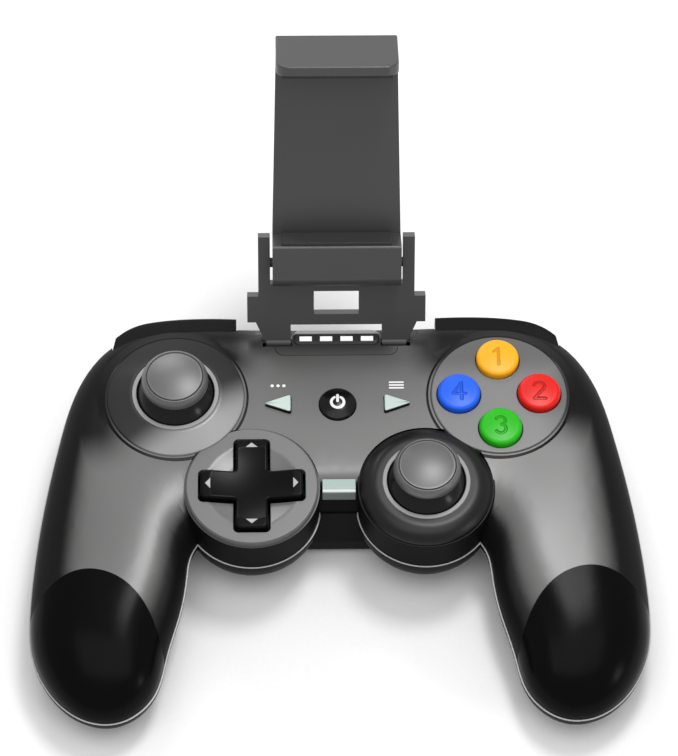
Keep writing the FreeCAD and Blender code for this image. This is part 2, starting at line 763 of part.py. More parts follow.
def rear_shell(lower):
    """Rear shell: casing half, tower bases and battery hump, with its posts and ears."""
    adds = [hump(0)]
    for side in (-1, 1):
        base = disc(POD_R + RIM_STEP, side * POD_X, POD_Y, POD_FLOOR_Z, PARTING_Z)
        low = [e for e in base.Edges if e.BoundBox.ZMax < POD_FLOOR_Z + 0.01]
        adds.append(base.makeFillet(POD_BELLY_R, low))
    outer = joined(lower, adds)
    shell = outer.cut(hollow(False))
    posts = []
    for side in (-1, 1):
        for x, y in SHELL_SCREWS:
            posts.append(disc(POST_R, side * x, y, 0, BOARD_TOP_Z - BOARD_T).common(outer))
            posts.append(disc(SPIGOT_R, side * x, y, 0, PARTING_Z).common(outer))
        for x, y in BOARD_SCREWS:
            posts.append(disc(BOARD_POST_R, side * x, y, 1, BOARD_TOP_Z - BOARD_T).common(outer))
        posts.append(disc(BUMPER_HUB_R + 0.3, side * BUMPER_PIN_X, BUMPER_PIN_Y, 3, PARTING_Z)
                     .common(outer))
        for x0 in (TRIGGER_IN_X - TRIGGER_GAP - TRIGGER_EAR_T, TRIGGER_OUT_X + TRIGGER_GAP):
            ear = pin_lug(x0, x0 + TRIGGER_EAR_T, 2, PARTING_Z - 0.6,
                          TRIGGER_PIN_Y - TRIGGER_EAR_HALF,
                          TRIGGER_PIN_Y + TRIGGER_EAR_HALF).common(outer)
            posts.append(ear if side > 0 else mirrored(ear))
        rib = pin_lug(BOARD_RIB[0], BOARD_RIB[1], 2, SWITCH_BOARD_LOW_Z, SWITCH_BOARD_Y - 1.0,
                      SWITCH_BOARD_Y + SWITCH_BOARD_T + 1.0).common(outer)
        posts.append(rib if side > 0 else mirrored(rib))
    shell = joined(shell, posts)
    cuts = [Part.makeBox(400, 400, 20, V(-200, -200, -20)), usb_opening()]
    for side in (-1, 1):
        for x, y in SHELL_SCREWS:
            cuts.append(disc(SCREW_HEAD_R + 0.3, side * x, y, -5, SCREW_SEAT_Z))
            cuts.append(disc(SCREW_R + 0.2, side * x, y, -5, 30))
        for x, y in BOARD_SCREWS:
            cuts.append(disc(BOARD_SCREW_R + RUNNING_GAP, side * x, y, BOARD_SCREW_END_Z - 0.3, 30))
        cuts.append(disc(BUMPER_PIN_R, side * BUMPER_PIN_X, BUMPER_PIN_Y, BUMPER_PIN_LOW_Z, 30))
        slot = pin_lug(TRIGGER_IN_X - TRIGGER_GAP, TRIGGER_OUT_X + TRIGGER_GAP, TRIGGER_SLOT_Z[0],
                       TRIGGER_SLOT_Z[1], TRIGGER_PIN_Y - 3, TRIGGER_PIN_Y + 12)
        end = TRIGGER_PIN_END + 0.1
        pin = bar_x(TRIGGER_PIN_R, TRIGGER_IN_X - end, TRIGGER_OUT_X + end, TRIGGER_PIN_Y,
                    TRIGGER_PIN_Z)
        cuts += [slot, pin] if side > 0 else [mirrored(slot), mirrored(pin)]
    return pierced(shell, cuts)


def shoulder_board(side):
    """An upright board with the switch that the shoulder button presses."""
    y1 = SWITCH_BOARD_Y + SWITCH_BOARD_T
    mid = (BOARD_RIB[0] + BOARD_RIB[1]) / 2
    z = SWITCH_BOARD_TOP_Z - SWITCH_HALF
    plate = pin_lug(BOARD_RIB[0] + 0.5, BOARD_RIB[1] - 0.5, SWITCH_BOARD_LOW_Z, SWITCH_BOARD_TOP_Z,
                    SWITCH_BOARD_Y, y1)
    switch = pin_lug(mid - SWITCH_HALF, mid + SWITCH_HALF, z - SWITCH_HALF, z + SWITCH_HALF, y1,
                     y1 + SWITCH_DEEP)
    plunger = bar_y(PLUNGER_R, y1 + SWITCH_DEEP, PLUNGER_END_Y, mid, z)
    board = fused(plate, switch, plunger)
    return board if side > 0 else mirrored(board)


def stick_bezel_left():
    """Raised, gently coned trim round the left stick."""
    ring = turned([(COLLAR_OUT_R - 1.2, BEZEL_SEAT_Z), (BEZEL_R, BEZEL_SEAT_Z),
                   (BEZEL_R, BEZEL_EDGE_Z - 0.25), (BEZEL_R - 0.25, BEZEL_EDGE_Z),
                   (COLLAR_OUT_R + 0.6, COLLAR_TOP_Z - 0.3),
                   (COLLAR_OUT_R, COLLAR_TOP_Z - 0.3), (COLLAR_OUT_R, COLLAR_LOW_Z),
                   (COLLAR_OUT_R - 1.2, COLLAR_LOW_Z)], -BEZEL_X, BEZEL_Y)
    return ring.cut(Part.makeSphere(DOME_R + DOME_GAP, V(-BEZEL_X, BEZEL_Y, STICK_PIVOT_Z)))


def stick_bezel_right():
    """Domed trim that caps the right tower."""
    foot = V(COLLAR_OUT_R - 1.2, 0, POD_SEAT_Z)
    low = V(POD_BEZEL_R, 0, POD_SEAT_Z)
    side = V(POD_BEZEL_R, 0, POD_SEAT_Z + 0.5)
    rim = V(COLLAR_OUT_R + 1.0, 0, COLLAR_TOP_Z - 0.3)
    shoulder = V(POD_BEZEL_R - 1.5, 0, POD_SEAT_Z + 2.3)
    inner = [rim, V(COLLAR_OUT_R, 0, rim.z), V(COLLAR_OUT_R, 0, COLLAR_LOW_Z),
             V(COLLAR_OUT_R - 1.2, 0, COLLAR_LOW_Z), foot]
    curves = [Part.LineSegment(foot, low), Part.LineSegment(low, side), Part.Arc(side, shoulder, rim)]
    for a, b in zip(inner, inner[1:]):
        curves.append(Part.LineSegment(a, b))
    face = Part.Face(Part.Wire([c.toShape() for c in curves]))
    ring = face.revolve(V(0, 0, 0), V(0, 0, 1), 360)
    ring.translate(V(POD_X, POD_Y, 0))
    return ring.cut([Part.makeSphere(DOME_R + DOME_GAP, V(POD_X, POD_Y, STICK_PIVOT_Z)),
                     neighbour_bite(1)])


def stick_collar(x, y):
    """Thin pale ring at the mouth of a stick's well."""
    return turned([(COLLAR_IN_R + 0.45, COLLAR_LOW_Z), (COLLAR_OUT_R - 0.02, COLLAR_LOW_Z),
                   (COLLAR_OUT_R - 0.02, COLLAR_TOP_Z - 0.25), (COLLAR_OUT_R - 0.27, COLLAR_TOP_Z),
                   (COLLAR_IN_R + 0.15, COLLAR_TOP_Z), (COLLAR_IN_R, COLLAR_TOP_Z - 0.15)], x, y)


def neighbour_bite(side):
    """What the round bezel behind a tower takes out of the tower's own bezel."""
    return disc(BEZEL_R + BEZEL_GAP, side * BEZEL_X, BEZEL_Y, 0, FAR)


def button_bezel():
    """Flat disc round the four face buttons."""
    plate = turned([(0, BEZEL_SEAT_Z), (BEZEL_R, BEZEL_SEAT_Z), (BEZEL_R, BEZEL_EDGE_Z - 0.25),
                    (BEZEL_R - 0.25, BEZEL_EDGE_Z), (0, BEZEL_EDGE_Z)], BEZEL_X, BEZEL_Y)
    holes = [disc(BUTTON_R + KEY_GAP, x, y, 0, FAR) for x, y in face_plan_points()]
    return plate.cut(holes)


def cross_bezel():
    """Disc that caps the left tower, dished round the cross key."""
    top = POD_SEAT_Z + CROSS_BEZEL_T
    plate = turned([(0, POD_SEAT_Z), (POD_BEZEL_R, POD_SEAT_Z), (POD_BEZEL_R, top - 0.4),
                    (POD_BEZEL_R - 0.4, top), (0, top)], -POD_X, POD_Y)
    ball_r = (DISH_R ** 2 + DISH_DEPTH ** 2) / (2 * DISH_DEPTH)
    ball = Part.makeSphere(ball_r, V(-POD_X, POD_Y, top - DISH_DEPTH + ball_r))
    hole = cross_prism(CROSS_REACH + CROSS_GAP, CROSS_HALF + CROSS_GAP, 0, FAR, CROSS_ROUND)
    return plate.cut([ball, hole, neighbour_bite(-1)])


def face_button(x, y):
    """A round push button: domed cap, flange under the shell and a stem."""
    crown = BUTTON_TOP_Z - BUTTON_CROWN
    ball_r = (BUTTON_R ** 2 + BUTTON_CROWN ** 2) / (2 * BUTTON_CROWN)
    cap = disc(BUTTON_R, x, y, BUTTON_CAP_LOW_Z, BUTTON_TOP_Z)
    cap = cap.common(Part.makeSphere(ball_r, V(x, y, BUTTON_TOP_Z - ball_r)))
    rim = [e for e in cap.Edges if e.BoundBox.ZMin > crown - 0.01]
    cap = cap.makeFillet(BUTTON_ROUND, rim)
    flange_top = SEAT_UNDER_Z - FLANGE_GAP
    flange = disc(BUTTON_R + FLANGE_LIP, x, y, flange_top - FLANGE_T, flange_top)
    core = disc(BUTTON_R, x, y, flange_top - FLANGE_T, BUTTON_CAP_LOW_Z + 0.5)
    stem = disc(BUTTON_STEM_R, x, y, STEM_END_Z, flange_top)
    return fused(cap, flange, core, stem)


def arrow_key(side):
    """Select or start key: a three-cornered cap on a flange and stem."""
    cap = arrow_prism(side, 0, KEY_FLANGE_TOP_Z - 0.5, ARROW_TOP_Z)
    rim = [e for e in cap.Edges if e.BoundBox.ZMin > ARROW_TOP_Z - 0.01]
    cap = cap.makeChamfer(ARROW_BEVEL, rim)
    mid = side * (ARROW_BASE_X + ARROW_STEM)
    flange = disc(ARROW_HALF + ARROW_LIP, mid, KEY_Y, KEY_FLANGE_TOP_Z - FLANGE_T, KEY_FLANGE_TOP_Z)
    stem = disc(SMALL_STEM_R, mid, KEY_Y, STEM_END_Z, KEY_FLANGE_TOP_Z - 0.5)
    return fused(cap, flange, stem)


def home_button():
    """Round domed button in the middle."""
    rise = HOME_TOP_Z - HOME_EDGE_Z
    ball_r = (HOME_R ** 2 + rise ** 2) / (2 * rise)
    cap = disc(HOME_R, 0, KEY_Y, KEY_FLANGE_TOP_Z - FLANGE_T, HOME_TOP_Z)
    cap = cap.common(Part.makeSphere(ball_r, V(0, KEY_Y, HOME_TOP_Z - ball_r)))
    flange = disc(HOME_R + FLANGE_LIP, 0, KEY_Y, KEY_FLANGE_TOP_Z - FLANGE_T, KEY_FLANGE_TOP_Z)
    stem = disc(SMALL_STEM_R, 0, KEY_Y, STEM_END_Z, KEY_FLANGE_TOP_Z - 0.5)
    return fused(cap, flange, stem)


def bar_key():
    """Key that folds over the front edge between the towers, on a tongue and a stem."""
    cap = extrude_x(
        [(BAR_FRONT_Y, BAR_LOW_Z), (BAR_FRONT_Y, BAR_TOP_Z), (BAR_BACK_Y, BAR_TOP_Z),
         (BAR_BACK_Y, KEY_FLANGE_TOP_Z - FLANGE_T), (BAR_BACK_Y - BAR_T, KEY_FLANGE_TOP_Z - FLANGE_T),
         (BAR_BACK_Y - BAR_T, BAR_LOW_Z)],
        -BAR_HALF_X, BAR_HALF_X)
    fold = [e for e in cap.Edges
            if e.BoundBox.YMax < BAR_FRONT_Y + 0.01 and e.BoundBox.ZMin > BAR_TOP_Z - 0.01]
    cap = cap.makeFillet(BAR_FOLD_R, fold)
    tongue = Part.makeBox(2 * BAR_HALF_X, BAR_STEM_Y + SMALL_STEM_R - BAR_BACK_Y, FLANGE_T,
                          V(-BAR_HALF_X, BAR_BACK_Y, KEY_FLANGE_TOP_Z - FLANGE_T))
    stem = disc(SMALL_STEM_R, 0, BAR_STEM_Y, STEM_END_Z, KEY_FLANGE_TOP_Z - 0.5)
    return fused(cap, tongue, stem)


def cross_key():
    """Cross key: four arms with a hollow top, on a flange with a cup for its pivot."""
    cap = cross_prism(CROSS_REACH, CROSS_HALF, CROSS_BASE_Z, CROSS_TOP_Z, CROSS_ROUND)
    ball_r = (CROSS_HOLLOW_R ** 2 + CROSS_SINK ** 2) / (2 * CROSS_SINK)
    cap = cap.cut(Part.makeSphere(ball_r, V(-POD_X, POD_Y, CROSS_TOP_Z - CROSS_SINK + ball_r)))
    flange = disc(CROSS_FLANGE_R, -POD_X, POD_Y, CROSS_BASE_Z, CROSS_BASE_Z + FLANGE_T)
    key = fused(cap, flange)
    return key.cut(Part.makeSphere(PIVOT_BALL_R + PIVOT_CUP_GAP, V(-POD_X, POD_Y, CROSS_PIVOT_Z)))


def cross_pivot():
    """Pivot plate under the cross key, with the ball that the key rocks on."""
    plate = disc(PIVOT_PLATE_R, -POD_X, POD_Y, PIVOT_PLATE_LOW_Z, PIVOT_PLATE_LOW_Z + PIVOT_PLATE_T)
    ball = Part.makeSphere(PIVOT_BALL_R, V(-POD_X, POD_Y, CROSS_PIVOT_Z))
    ball = ball.cut(disc(4, -POD_X, POD_Y, 10, PIVOT_PLATE_LOW_Z))
    return fused(plate, ball)


def dome_pad(x, y, low_r, top_r, top_z):
    """A hollow rubber dome standing on the sheet."""
    z0 = BOARD_TOP_Z + PAD_SHEET_T
    outer = Part.makeCone(low_r, top_r, top_z - z0, V(x, y, z0))
    inner = Part.makeCone(low_r - PAD_DOME_WALL, top_r - PAD_DOME_ROOF, top_z - PAD_DOME_ROOF - z0,
                          V(x, y, z0))
    return outer.cut(inner)


def button_pad():
    """Rubber sheet with one dome under each face button."""
    sheet = disc(BUTTON_SHEET_R, BEZEL_X, BEZEL_Y, BOARD_TOP_Z, BOARD_TOP_Z + PAD_SHEET_T)
    domes = [dome_pad(x, y, *BUTTON_DOME, DOME_PAD_TOP_Z) for x, y in face_plan_points()]
    return fused(sheet, *domes)


def centre_pad():
    """Rubber sheet with domes under the arrow keys, the home button and the bar key."""
    across, deep = KEY_SHEET
    wide = Part.makeBox(across, deep, PAD_SHEET_T, V(-across / 2, KEY_Y - deep / 2, BOARD_TOP_Z))
    long = Part.makeBox(KEY_SHEET_LEG, KEY_Y - BAR_STEM_Y + 4, PAD_SHEET_T,
                        V(-KEY_SHEET_LEG / 2, BAR_STEM_Y - KEY_SHEET_PAST, BOARD_TOP_Z))
    spots = [(-ARROW_BASE_X - ARROW_STEM, KEY_Y), (ARROW_BASE_X + ARROW_STEM, KEY_Y), (0, KEY_Y),
             (0, BAR_STEM_Y)]
    domes = [dome_pad(x, y, *KEY_DOME, DOME_PAD_TOP_Z) for x, y in spots]
    return fused(wide, long, *domes)


def cross_pad():
    """Rubber sheet under the cross key: four domes and a nub under the pivot plate."""
    sheet = disc(CROSS_SHEET_R, -POD_X, POD_Y, BOARD_TOP_Z, BOARD_TOP_Z + PAD_SHEET_T)
    nub = disc(CROSS_NUB_R, -POD_X, POD_Y, BOARD_TOP_Z, PIVOT_PLATE_LOW_Z - 0.2)
    domes = []
    for k in range(4):
        a = math.radians(90 * k)
        domes.append(dome_pad(-POD_X + CROSS_DOME_RING * math.cos(a),
                              POD_Y + CROSS_DOME_RING * math.sin(a), *CROSS_DOME, CROSS_DOME_TOP_Z))
    return fused(sheet, nub, *domes)


def stick_module(x, y):
    """Fixed frame of a stick: square base and round drum with bearings for the yoke."""
    base = Part.makeBox(2 * MODULE_HALF, 2 * MODULE_HALF, MODULE_BOX_TOP_Z - BOARD_TOP_Z,
                        V(x - MODULE_HALF, y - MODULE_HALF, BOARD_TOP_Z))
    drum = disc(MODULE_DRUM_R, x, y, BOARD_TOP_Z, MODULE_DRUM_TOP_Z)
    bore = disc(MODULE_BORE_R, x, y, BOARD_TOP_Z + MODULE_FLOOR, 30)
    pins = bar_x(YOKE_PIN_R + RUNNING_GAP, x - MODULE_DRUM_R - 1, x + MODULE_DRUM_R + 1, y,
                 STICK_PIVOT_Z)
    return fused(base, drum).cut([bore, pins])


def stick_yoke(x, y):
    """Outer ring of a stick's gimbal: turns about X on two pins."""
    ring = disc(YOKE_OUT_R, x, y, STICK_PIVOT_Z - YOKE_HALF_Z, STICK_PIVOT_Z + YOKE_HALF_Z)
    pins = bar_x(YOKE_PIN_R, x - MODULE_DRUM_R + 0.2, x + MODULE_DRUM_R - 0.2, y, STICK_PIVOT_Z)
    bore = disc(YOKE_IN_R, x, y, 0, FAR)
    holes = bar_y(GIMBAL_PIN_R + RUNNING_GAP, y - YOKE_OUT_R - 1, y + YOKE_OUT_R + 1, x, STICK_PIVOT_Z)
    return fused(ring, pins).cut([bore, holes])


def stick_gimbal(x, y):
    """Inner block of the gimbal: turns about Y in the ring and guides the shaft."""
    block = disc(GIMBAL_R, x, y, STICK_PIVOT_Z - GIMBAL_HALF_Z, STICK_PIVOT_Z + GIMBAL_HALF_Z)
    pins = bar_y(GIMBAL_PIN_R, y - YOKE_OUT_R + 0.3, y + YOKE_OUT_R - 0.3, x, STICK_PIVOT_Z)
    return fused(block, pins).cut(disc(SHAFT_R + RUNNING_GAP, x, y, 0, FAR))


def stick_dome(x, y):
    """Black shaft with its round skirt, which fills the well at every tilt."""
    z = STICK_PIVOT_Z
    edge = math.radians(DOME_SKIRT_DEG)
    inner_r = DOME_R - DOME_WALL
    low_out = V(DOME_R * math.cos(edge), 0, z + DOME_R * math.sin(edge))
    low_in = V(inner_r * math.cos(edge), 0, z + inner_r * math.sin(edge))
    mid = math.radians(48)
    neck_z = z + math.sqrt(DOME_R ** 2 - NECK_R ** 2)
    in_z = z + math.sqrt(inner_r ** 2 - SHAFT_SHOULDER_R ** 2)
    outer_arc = Part.Arc(low_out, V(DOME_R * math.cos(math.radians(36)), 0,
                                    z + DOME_R * math.sin(math.radians(36))), V(NECK_R, 0, neck_z))
    inner_arc = Part.Arc(V(SHAFT_SHOULDER_R, 0, in_z),
                         V(inner_r * math.cos(mid), 0, z + inner_r * math.sin(mid)), low_in)
    path = [V(NECK_R, 0, neck_z), V(NECK_R, 0, CAP_LOW_Z), V(0, 0, CAP_LOW_Z), V(0, 0, SHAFT_END_Z),
            V(SHAFT_R, 0, SHAFT_END_Z), V(SHAFT_R, 0, SHAFT_SHOULDER_Z),
            V(SHAFT_SHOULDER_R, 0, SHAFT_SHOULDER_Z), V(SHAFT_SHOULDER_R, 0, in_z)]
    curves = [outer_arc]
    for a, b in zip(path, path[1:]):
        curves.append(Part.LineSegment(a, b))
    curves += [inner_arc, Part.LineSegment(low_in, low_out)]
    face = Part.Face(Part.Wire([c.toShape() for c in curves]))
    body = face.revolve(V(0, 0, 0), V(0, 0, 1), 360)
    body.translate(V(x, y, 0))
    return body


def stick_cap(x, y):
    """Thumb cap: a domed pad with a sloped rim."""
    body = turned([(0, CAP_LOW_Z), (CAP_R - 0.6, CAP_LOW_Z), (CAP_R, CAP_LOW_Z + 0.5),
                   (CAP_R, CAP_EDGE_Z), (CAP_PAD_R, CAP_PAD_Z), (CAP_PAD_R, CAP_TOP_Z),
                   (0, CAP_TOP_Z)], x, y)
    rise = CAP_TOP_Z - CAP_PAD_Z
    ball_r = (CAP_PAD_R ** 2 + rise ** 2) / (2 * rise)
    return body.common(Part.makeSphere(ball_r, V(x, y, CAP_TOP_Z - ball_r)))


def main_board():
    """Circuit board: follows the casing's inside, with holes for the posts."""
    slab = Part.makeBox(2 * BOARD_HALF_X, BOARD_BACK_Y - BOARD_MID_Y, BOARD_T,
                        V(-BOARD_HALF_X, BOARD_MID_Y, BOARD_TOP_Z - BOARD_T))
    low = Part.makeBox(2 * BOARD_LOW_HALF_X, BOARD_MID_Y - BOARD_LOW_Y + 1, BOARD_T,
                       V(-BOARD_LOW_HALF_X, BOARD_LOW_Y, BOARD_TOP_Z - BOARD_T))
    tongue = Part.makeBox(20, 8, BOARD_T, V(-10, BOARD_BACK_Y - 1, BOARD_TOP_Z - BOARD_T))
    limit = casing_room(WALL + BOARD_MARGIN, False)
    limit = limit.fuse(both_pods(POD_R - WALL - BOARD_MARGIN, BOARD_TOP_Z - 3, BOARD_TOP_Z + 3))
    board = fused(slab, low, tongue).common(limit)
    holes = []
    for side in (-1, 1):
        for x, y in SHELL_SCREWS:
            holes.append(disc(SPIGOT_R + 0.2, side * x, y, 0, FAR))
        for x, y in BOARD_SCREWS:
            holes.append(disc(BOARD_SCREW_R + 0.15, side * x, y, 0, FAR))
    return board.cut(holes)


def shell_screws():
    """Six screws up through the rear shell's posts into the front shell's bosses."""
    screws = []
    for side in (-1, 1):
        for x, y in SHELL_SCREWS:
            head = disc(SCREW_HEAD_R, side * x, y, SCREW_SEAT_Z - SCREW_HEAD_T, SCREW_SEAT_Z)
            socket = cross_recess(side * x, y, SCREW_SEAT_Z - SCREW_HEAD_T, SHELL_RECESS, 1)
            screws.append(fused(head, disc(SCREW_R, side * x, y, SCREW_SEAT_Z, SCREW_END_Z)).cut(socket))
    return Part.makeCompound(screws)


def cross_recess(x, y, z, deep, up):
    """Plus-shaped driver recess at a screw head's face, cut towards up."""
    z0 = z if up > 0 else z - deep
    long, wide = RECESS
    bars = [Part.makeBox(long, wide, deep, V(x - long / 2, y - wide / 2, z0)),
            Part.makeBox(wide, long, deep, V(x - wide / 2, y - long / 2, z0))]
    return fused(bars[0], bars[1])


def board_screws():
    """Four screws that hold the circuit board on its posts."""
    screws = []
    for side in (-1, 1):
        for x, y in BOARD_SCREWS:
            head = disc(BOARD_HEAD_R, side * x, y, BOARD_TOP_Z, BOARD_TOP_Z + BOARD_HEAD_T)
            shank = disc(BOARD_SCREW_R, side * x, y, BOARD_SCREW_END_Z, BOARD_TOP_Z)
            screws.append(fused(head, shank)
                          .cut(cross_recess(side * x, y, BOARD_TOP_Z + BOARD_HEAD_T, BOARD_RECESS, -1)))
    return Part.makeCompound(screws)


def usb_socket():
    """Charging socket: a flat metal shell with a tongue inside."""
    x, y, z = SOCKET
    body = Part.makeBox(x, y, z, V(-x / 2, SOCKET_Y, BOARD_TOP_Z))
    room = Part.makeBox(x - 2 * SOCKET_WALL, y - SOCKET_BACK, z - 2 * SOCKET_WALL,
                        V(-x / 2 + SOCKET_WALL, SOCKET_Y + SOCKET_BACK, BOARD_TOP_Z + SOCKET_WALL))
    wide, deep, thick = SOCKET_TONGUE
    tongue = Part.makeBox(wide, deep, thick,
                          V(-wide / 2, SOCKET_Y + SOCKET_WALL, BOARD_TOP_Z + (z - thick) / 2))
    return fused(body.cut(room), tongue)


def battery():
    """Flat rechargeable pack lying on the hump's floor."""
    x, y, z = BATTERY
    pack = Part.makeBox(x, y, z, V(-x / 2, BATTERY_Y - y / 2, WALL))
    long = [e for e in pack.Edges if abs(e.tangentAt(e.FirstParameter).x) > 0.9]
    return pack.makeFillet(BATTERY_ROUND, long)


def hinge_panel(upper):
    """Inlaid panel between the shell and the bracket, with the tabs' pits and the light window."""
    block = panel_prism(0, PANEL_LOW_Z).common(upper)
    cuts = tab_pits() + [hinge_pin(), mirrored(hinge_pin())]
    reach = LIGHT_HALF_X + LIGHT_GAP
    cuts.append(rounded_box(reach, LIGHT_FRONT_Y - LIGHT_GAP, LIGHT_BACK_Y + LIGHT_GAP, LIGHT_LOW_Z, FAR,
                            LIGHT_ROUND))
    cuts.append(guide_room())
    return block.cut(cuts)


def light_spots():
    """Middles of the four light bars along X."""
    first = -(LIGHT_COUNT - 1) * LIGHT_STEP / 2
    return [first + k * LIGHT_STEP for k in range(LIGHT_COUNT)]


def light_window():
    """Pale frame with four slots, set in the hinge panel."""
    frame = rounded_box(LIGHT_HALF_X, LIGHT_FRONT_Y, LIGHT_BACK_Y, LIGHT_LOW_Z, LIGHT_TOP_Z,
                        LIGHT_ROUND)
    rim = [e for e in frame.Edges if e.BoundBox.ZMin > LIGHT_TOP_Z - 0.01]
    frame = frame.makeChamfer(LIGHT_BEVEL, rim)
    step = rounded_box(LIGHT_HALF_X - 1.0, LIGHT_ROW_Y - 1.0, LIGHT_ROW_Y + 1.0, LIGHT_TOP_Z - LIGHT_SINK,
                       FAR, 0.6)
    long = LIGHT_BAR[0] + 2 * RUNNING_GAP
    wide = LIGHT_BAR[1] + 2 * RUNNING_GAP
    slots = [Part.makeBox(long, wide, FAR, V(x - long / 2, LIGHT_ROW_Y - wide / 2, PARTING_Z))
             for x in light_spots()]
    return frame.cut([step] + slots)


def light_guide():
    """Clear guide: a web under the window with four bars that reach its slots."""
    x, y, z = GUIDE_WEB
    low = LIGHT_LOW_Z - GUIDE_DROP
    web = Part.makeBox(x, y, z, V(-x / 2, GUIDE_Y, low))
    long, wide = LIGHT_BAR
    bars = [Part.makeBox(long, wide, LIGHT_TOP_Z - 0.3 - low,
                         V(x - long / 2, LIGHT_ROW_Y - wide / 2, low)) for x in light_spots()]
    return fused(web, *bars)


def status_lights():
    """Four small lamps on the board under the guide."""
    long, wide, high = STATUS_LAMP
    lamps = [Part.makeBox(long, wide, high, V(x - long / 2, LIGHT_ROW_Y - wide / 2, BOARD_TOP_Z))
             for x in light_spots()]
    return Part.makeCompound(lamps)


def phone_bracket():
    """U-shaped plate: two tabs at its foot, a window and two arms for the clip."""
    right = [(0, WEB_LOW), (TAB_IN_X, WEB_LOW), (TAB_IN_X, 0), (TAB_OUT_X, 0),
             (TAB_SHOULDER_X, SHOULDER_LOW), (SHOULDER_X, SHOULDER_LOW), (SHOULDER_X, SHOULDER_TOP),
             (ARM_OUT_X, SHOULDER_TOP), (ARM_OUT_X, ARM_TOP), (ARM_IN_X, ARM_TOP), (ARM_IN_X, WEB_TOP),
             (0, WEB_TOP)]
    half = extrude_z(right, -BRACKET_T / 2, BRACKET_T / 2)
    plate = fused(half, mirrored(half))
    knuckles = []
    for side in (-1, 1):
        low = min(side * TAB_IN_X, side * TAB_OUT_X)
        knuckles.append(bar_x(KNUCKLE_R, low, low + TAB_OUT_X - TAB_IN_X, 0, 0))
    plate = fused(plate, *knuckles)
    window = Part.makeBox(2 * WINDOW_HALF, WINDOW_TOP - WINDOW_LOW, 10,
                          V(-WINDOW_HALF, WINDOW_LOW, -5))
    hinge = bar_x(HINGE_PIN_R + RUNNING_GAP, -30, 30, 0, 0)
    pivot = bar_x(TILT_PIN_R, -TILT_PIN_REACH, TILT_PIN_REACH, TILT_S, 0)
    return leaned(plate.cut([window, hinge, pivot]))


def clip_pin():
    """Pin through the bracket's arms and the clip's foot."""
    return leaned(bar_x(TILT_PIN_R, -TILT_PIN_REACH, TILT_PIN_REACH, TILT_S, 0))


def clip_taper(s):
    """Half width of the clip's plate at distance s up the plate."""
    share = (s - JAW_TOP) / (HEAD_LOW - JAW_TOP)
    return JAW_HALF + (HEAD_HALF - JAW_HALF) * share


def clip_frame():
    """Clip's lower half: foot with the lower jaw, and the channel for the upper jaw."""
    top = HEAD_LOW - HEAD_GAP
    back = PLATE_BACK + COVER_T
    foot = Part.makeBox(2 * JAW_HALF, JAW_TOP - JAW_LOW, JAW_FRONT - back, V(-JAW_HALF, JAW_LOW, back))
    low_front = [e for e in foot.Edges
                 if e.BoundBox.YMax < JAW_LOW + 0.01 and e.BoundBox.ZMin > JAW_FRONT - 0.01]
    foot = foot.makeFillet(JAW_ROUND, low_front)
    top_front = [e for e in foot.Edges
                 if e.BoundBox.YMin > JAW_TOP - 0.01 and e.BoundBox.ZMin > JAW_FRONT - 0.01]
    foot = foot.makeFillet(JAW_EDGE_R, top_front)
    plate = extrude_z([(-JAW_HALF, JAW_TOP - 1), (JAW_HALF, JAW_TOP - 1), (clip_taper(top), top),
                       (-clip_taper(top), top)], back, PLATE_FRONT)
    channel = Part.makeBox(2 * CHANNEL_HALF, top - JAW_TOP - 1, -back + PLATE_FRONT - COVER_T,
                           V(-CHANNEL_HALF, JAW_TOP + 1.5, back))
    wide, deep, high = JAW_ROOM
    room = Part.makeBox(wide, deep, high, V(-wide / 2, JAW_TOP - 1.5 - deep, back))
    pin = bar_x(TILT_PIN_R + RUNNING_GAP, -30, 30, TILT_S, 0)
    body = fused(foot, plate).cut([channel, room, pin])
    hooks = [disc(HOOK_R, side * SPRING_X, HOOK_S, back, PLATE_FRONT - COVER_T + 0.1)
             for side in (-1, 1)]
    body = fused(body, *hooks)
    holes = []
    for side in (-1, 1):
        for s in COVER_SCREW_S:
            holes.append(disc(COVER_SCREW_R + 0.02, side * COVER_SCREW_X, s, back - 1, 1.0))
    return leaned(body.cut(holes))


def clip_cover():
    """Flat cover on the back of the clip."""
    top = HEAD_LOW - HEAD_GAP
    plate = extrude_z([(-JAW_HALF, JAW_LOW + 1.5), (JAW_HALF, JAW_LOW + 1.5), (JAW_HALF, JAW_TOP),
                       (clip_taper(top), top), (-clip_taper(top), top), (-JAW_HALF, JAW_TOP)],
                      PLATE_BACK, PLATE_BACK + COVER_T)
    holes = []
    for side in (-1, 1):
        for s in COVER_SCREW_S:
            holes.append(disc(COVER_SCREW_R + 0.1, side * COVER_SCREW_X, s, -6, 0))
            holes.append(disc(COVER_HEAD_R + 0.1, side * COVER_SCREW_X, s, -6,
                              PLATE_BACK + COVER_SEAT))
    return leaned(plate.cut(holes))


def cover_screws():
    """Four small screws that hold the clip's cover."""
    screws = []
    for side in (-1, 1):
        for s in COVER_SCREW_S:
            head = disc(COVER_HEAD_R, side * COVER_SCREW_X, s, PLATE_BACK + 0.05,
                        PLATE_BACK + COVER_SEAT)
            shank = disc(COVER_SCREW_R, side * COVER_SCREW_X, s, PLATE_BACK + COVER_SEAT - 0.1, 0.6)
            screws.append(leaned(fused(head, shank)))
    return Part.makeCompound(screws)


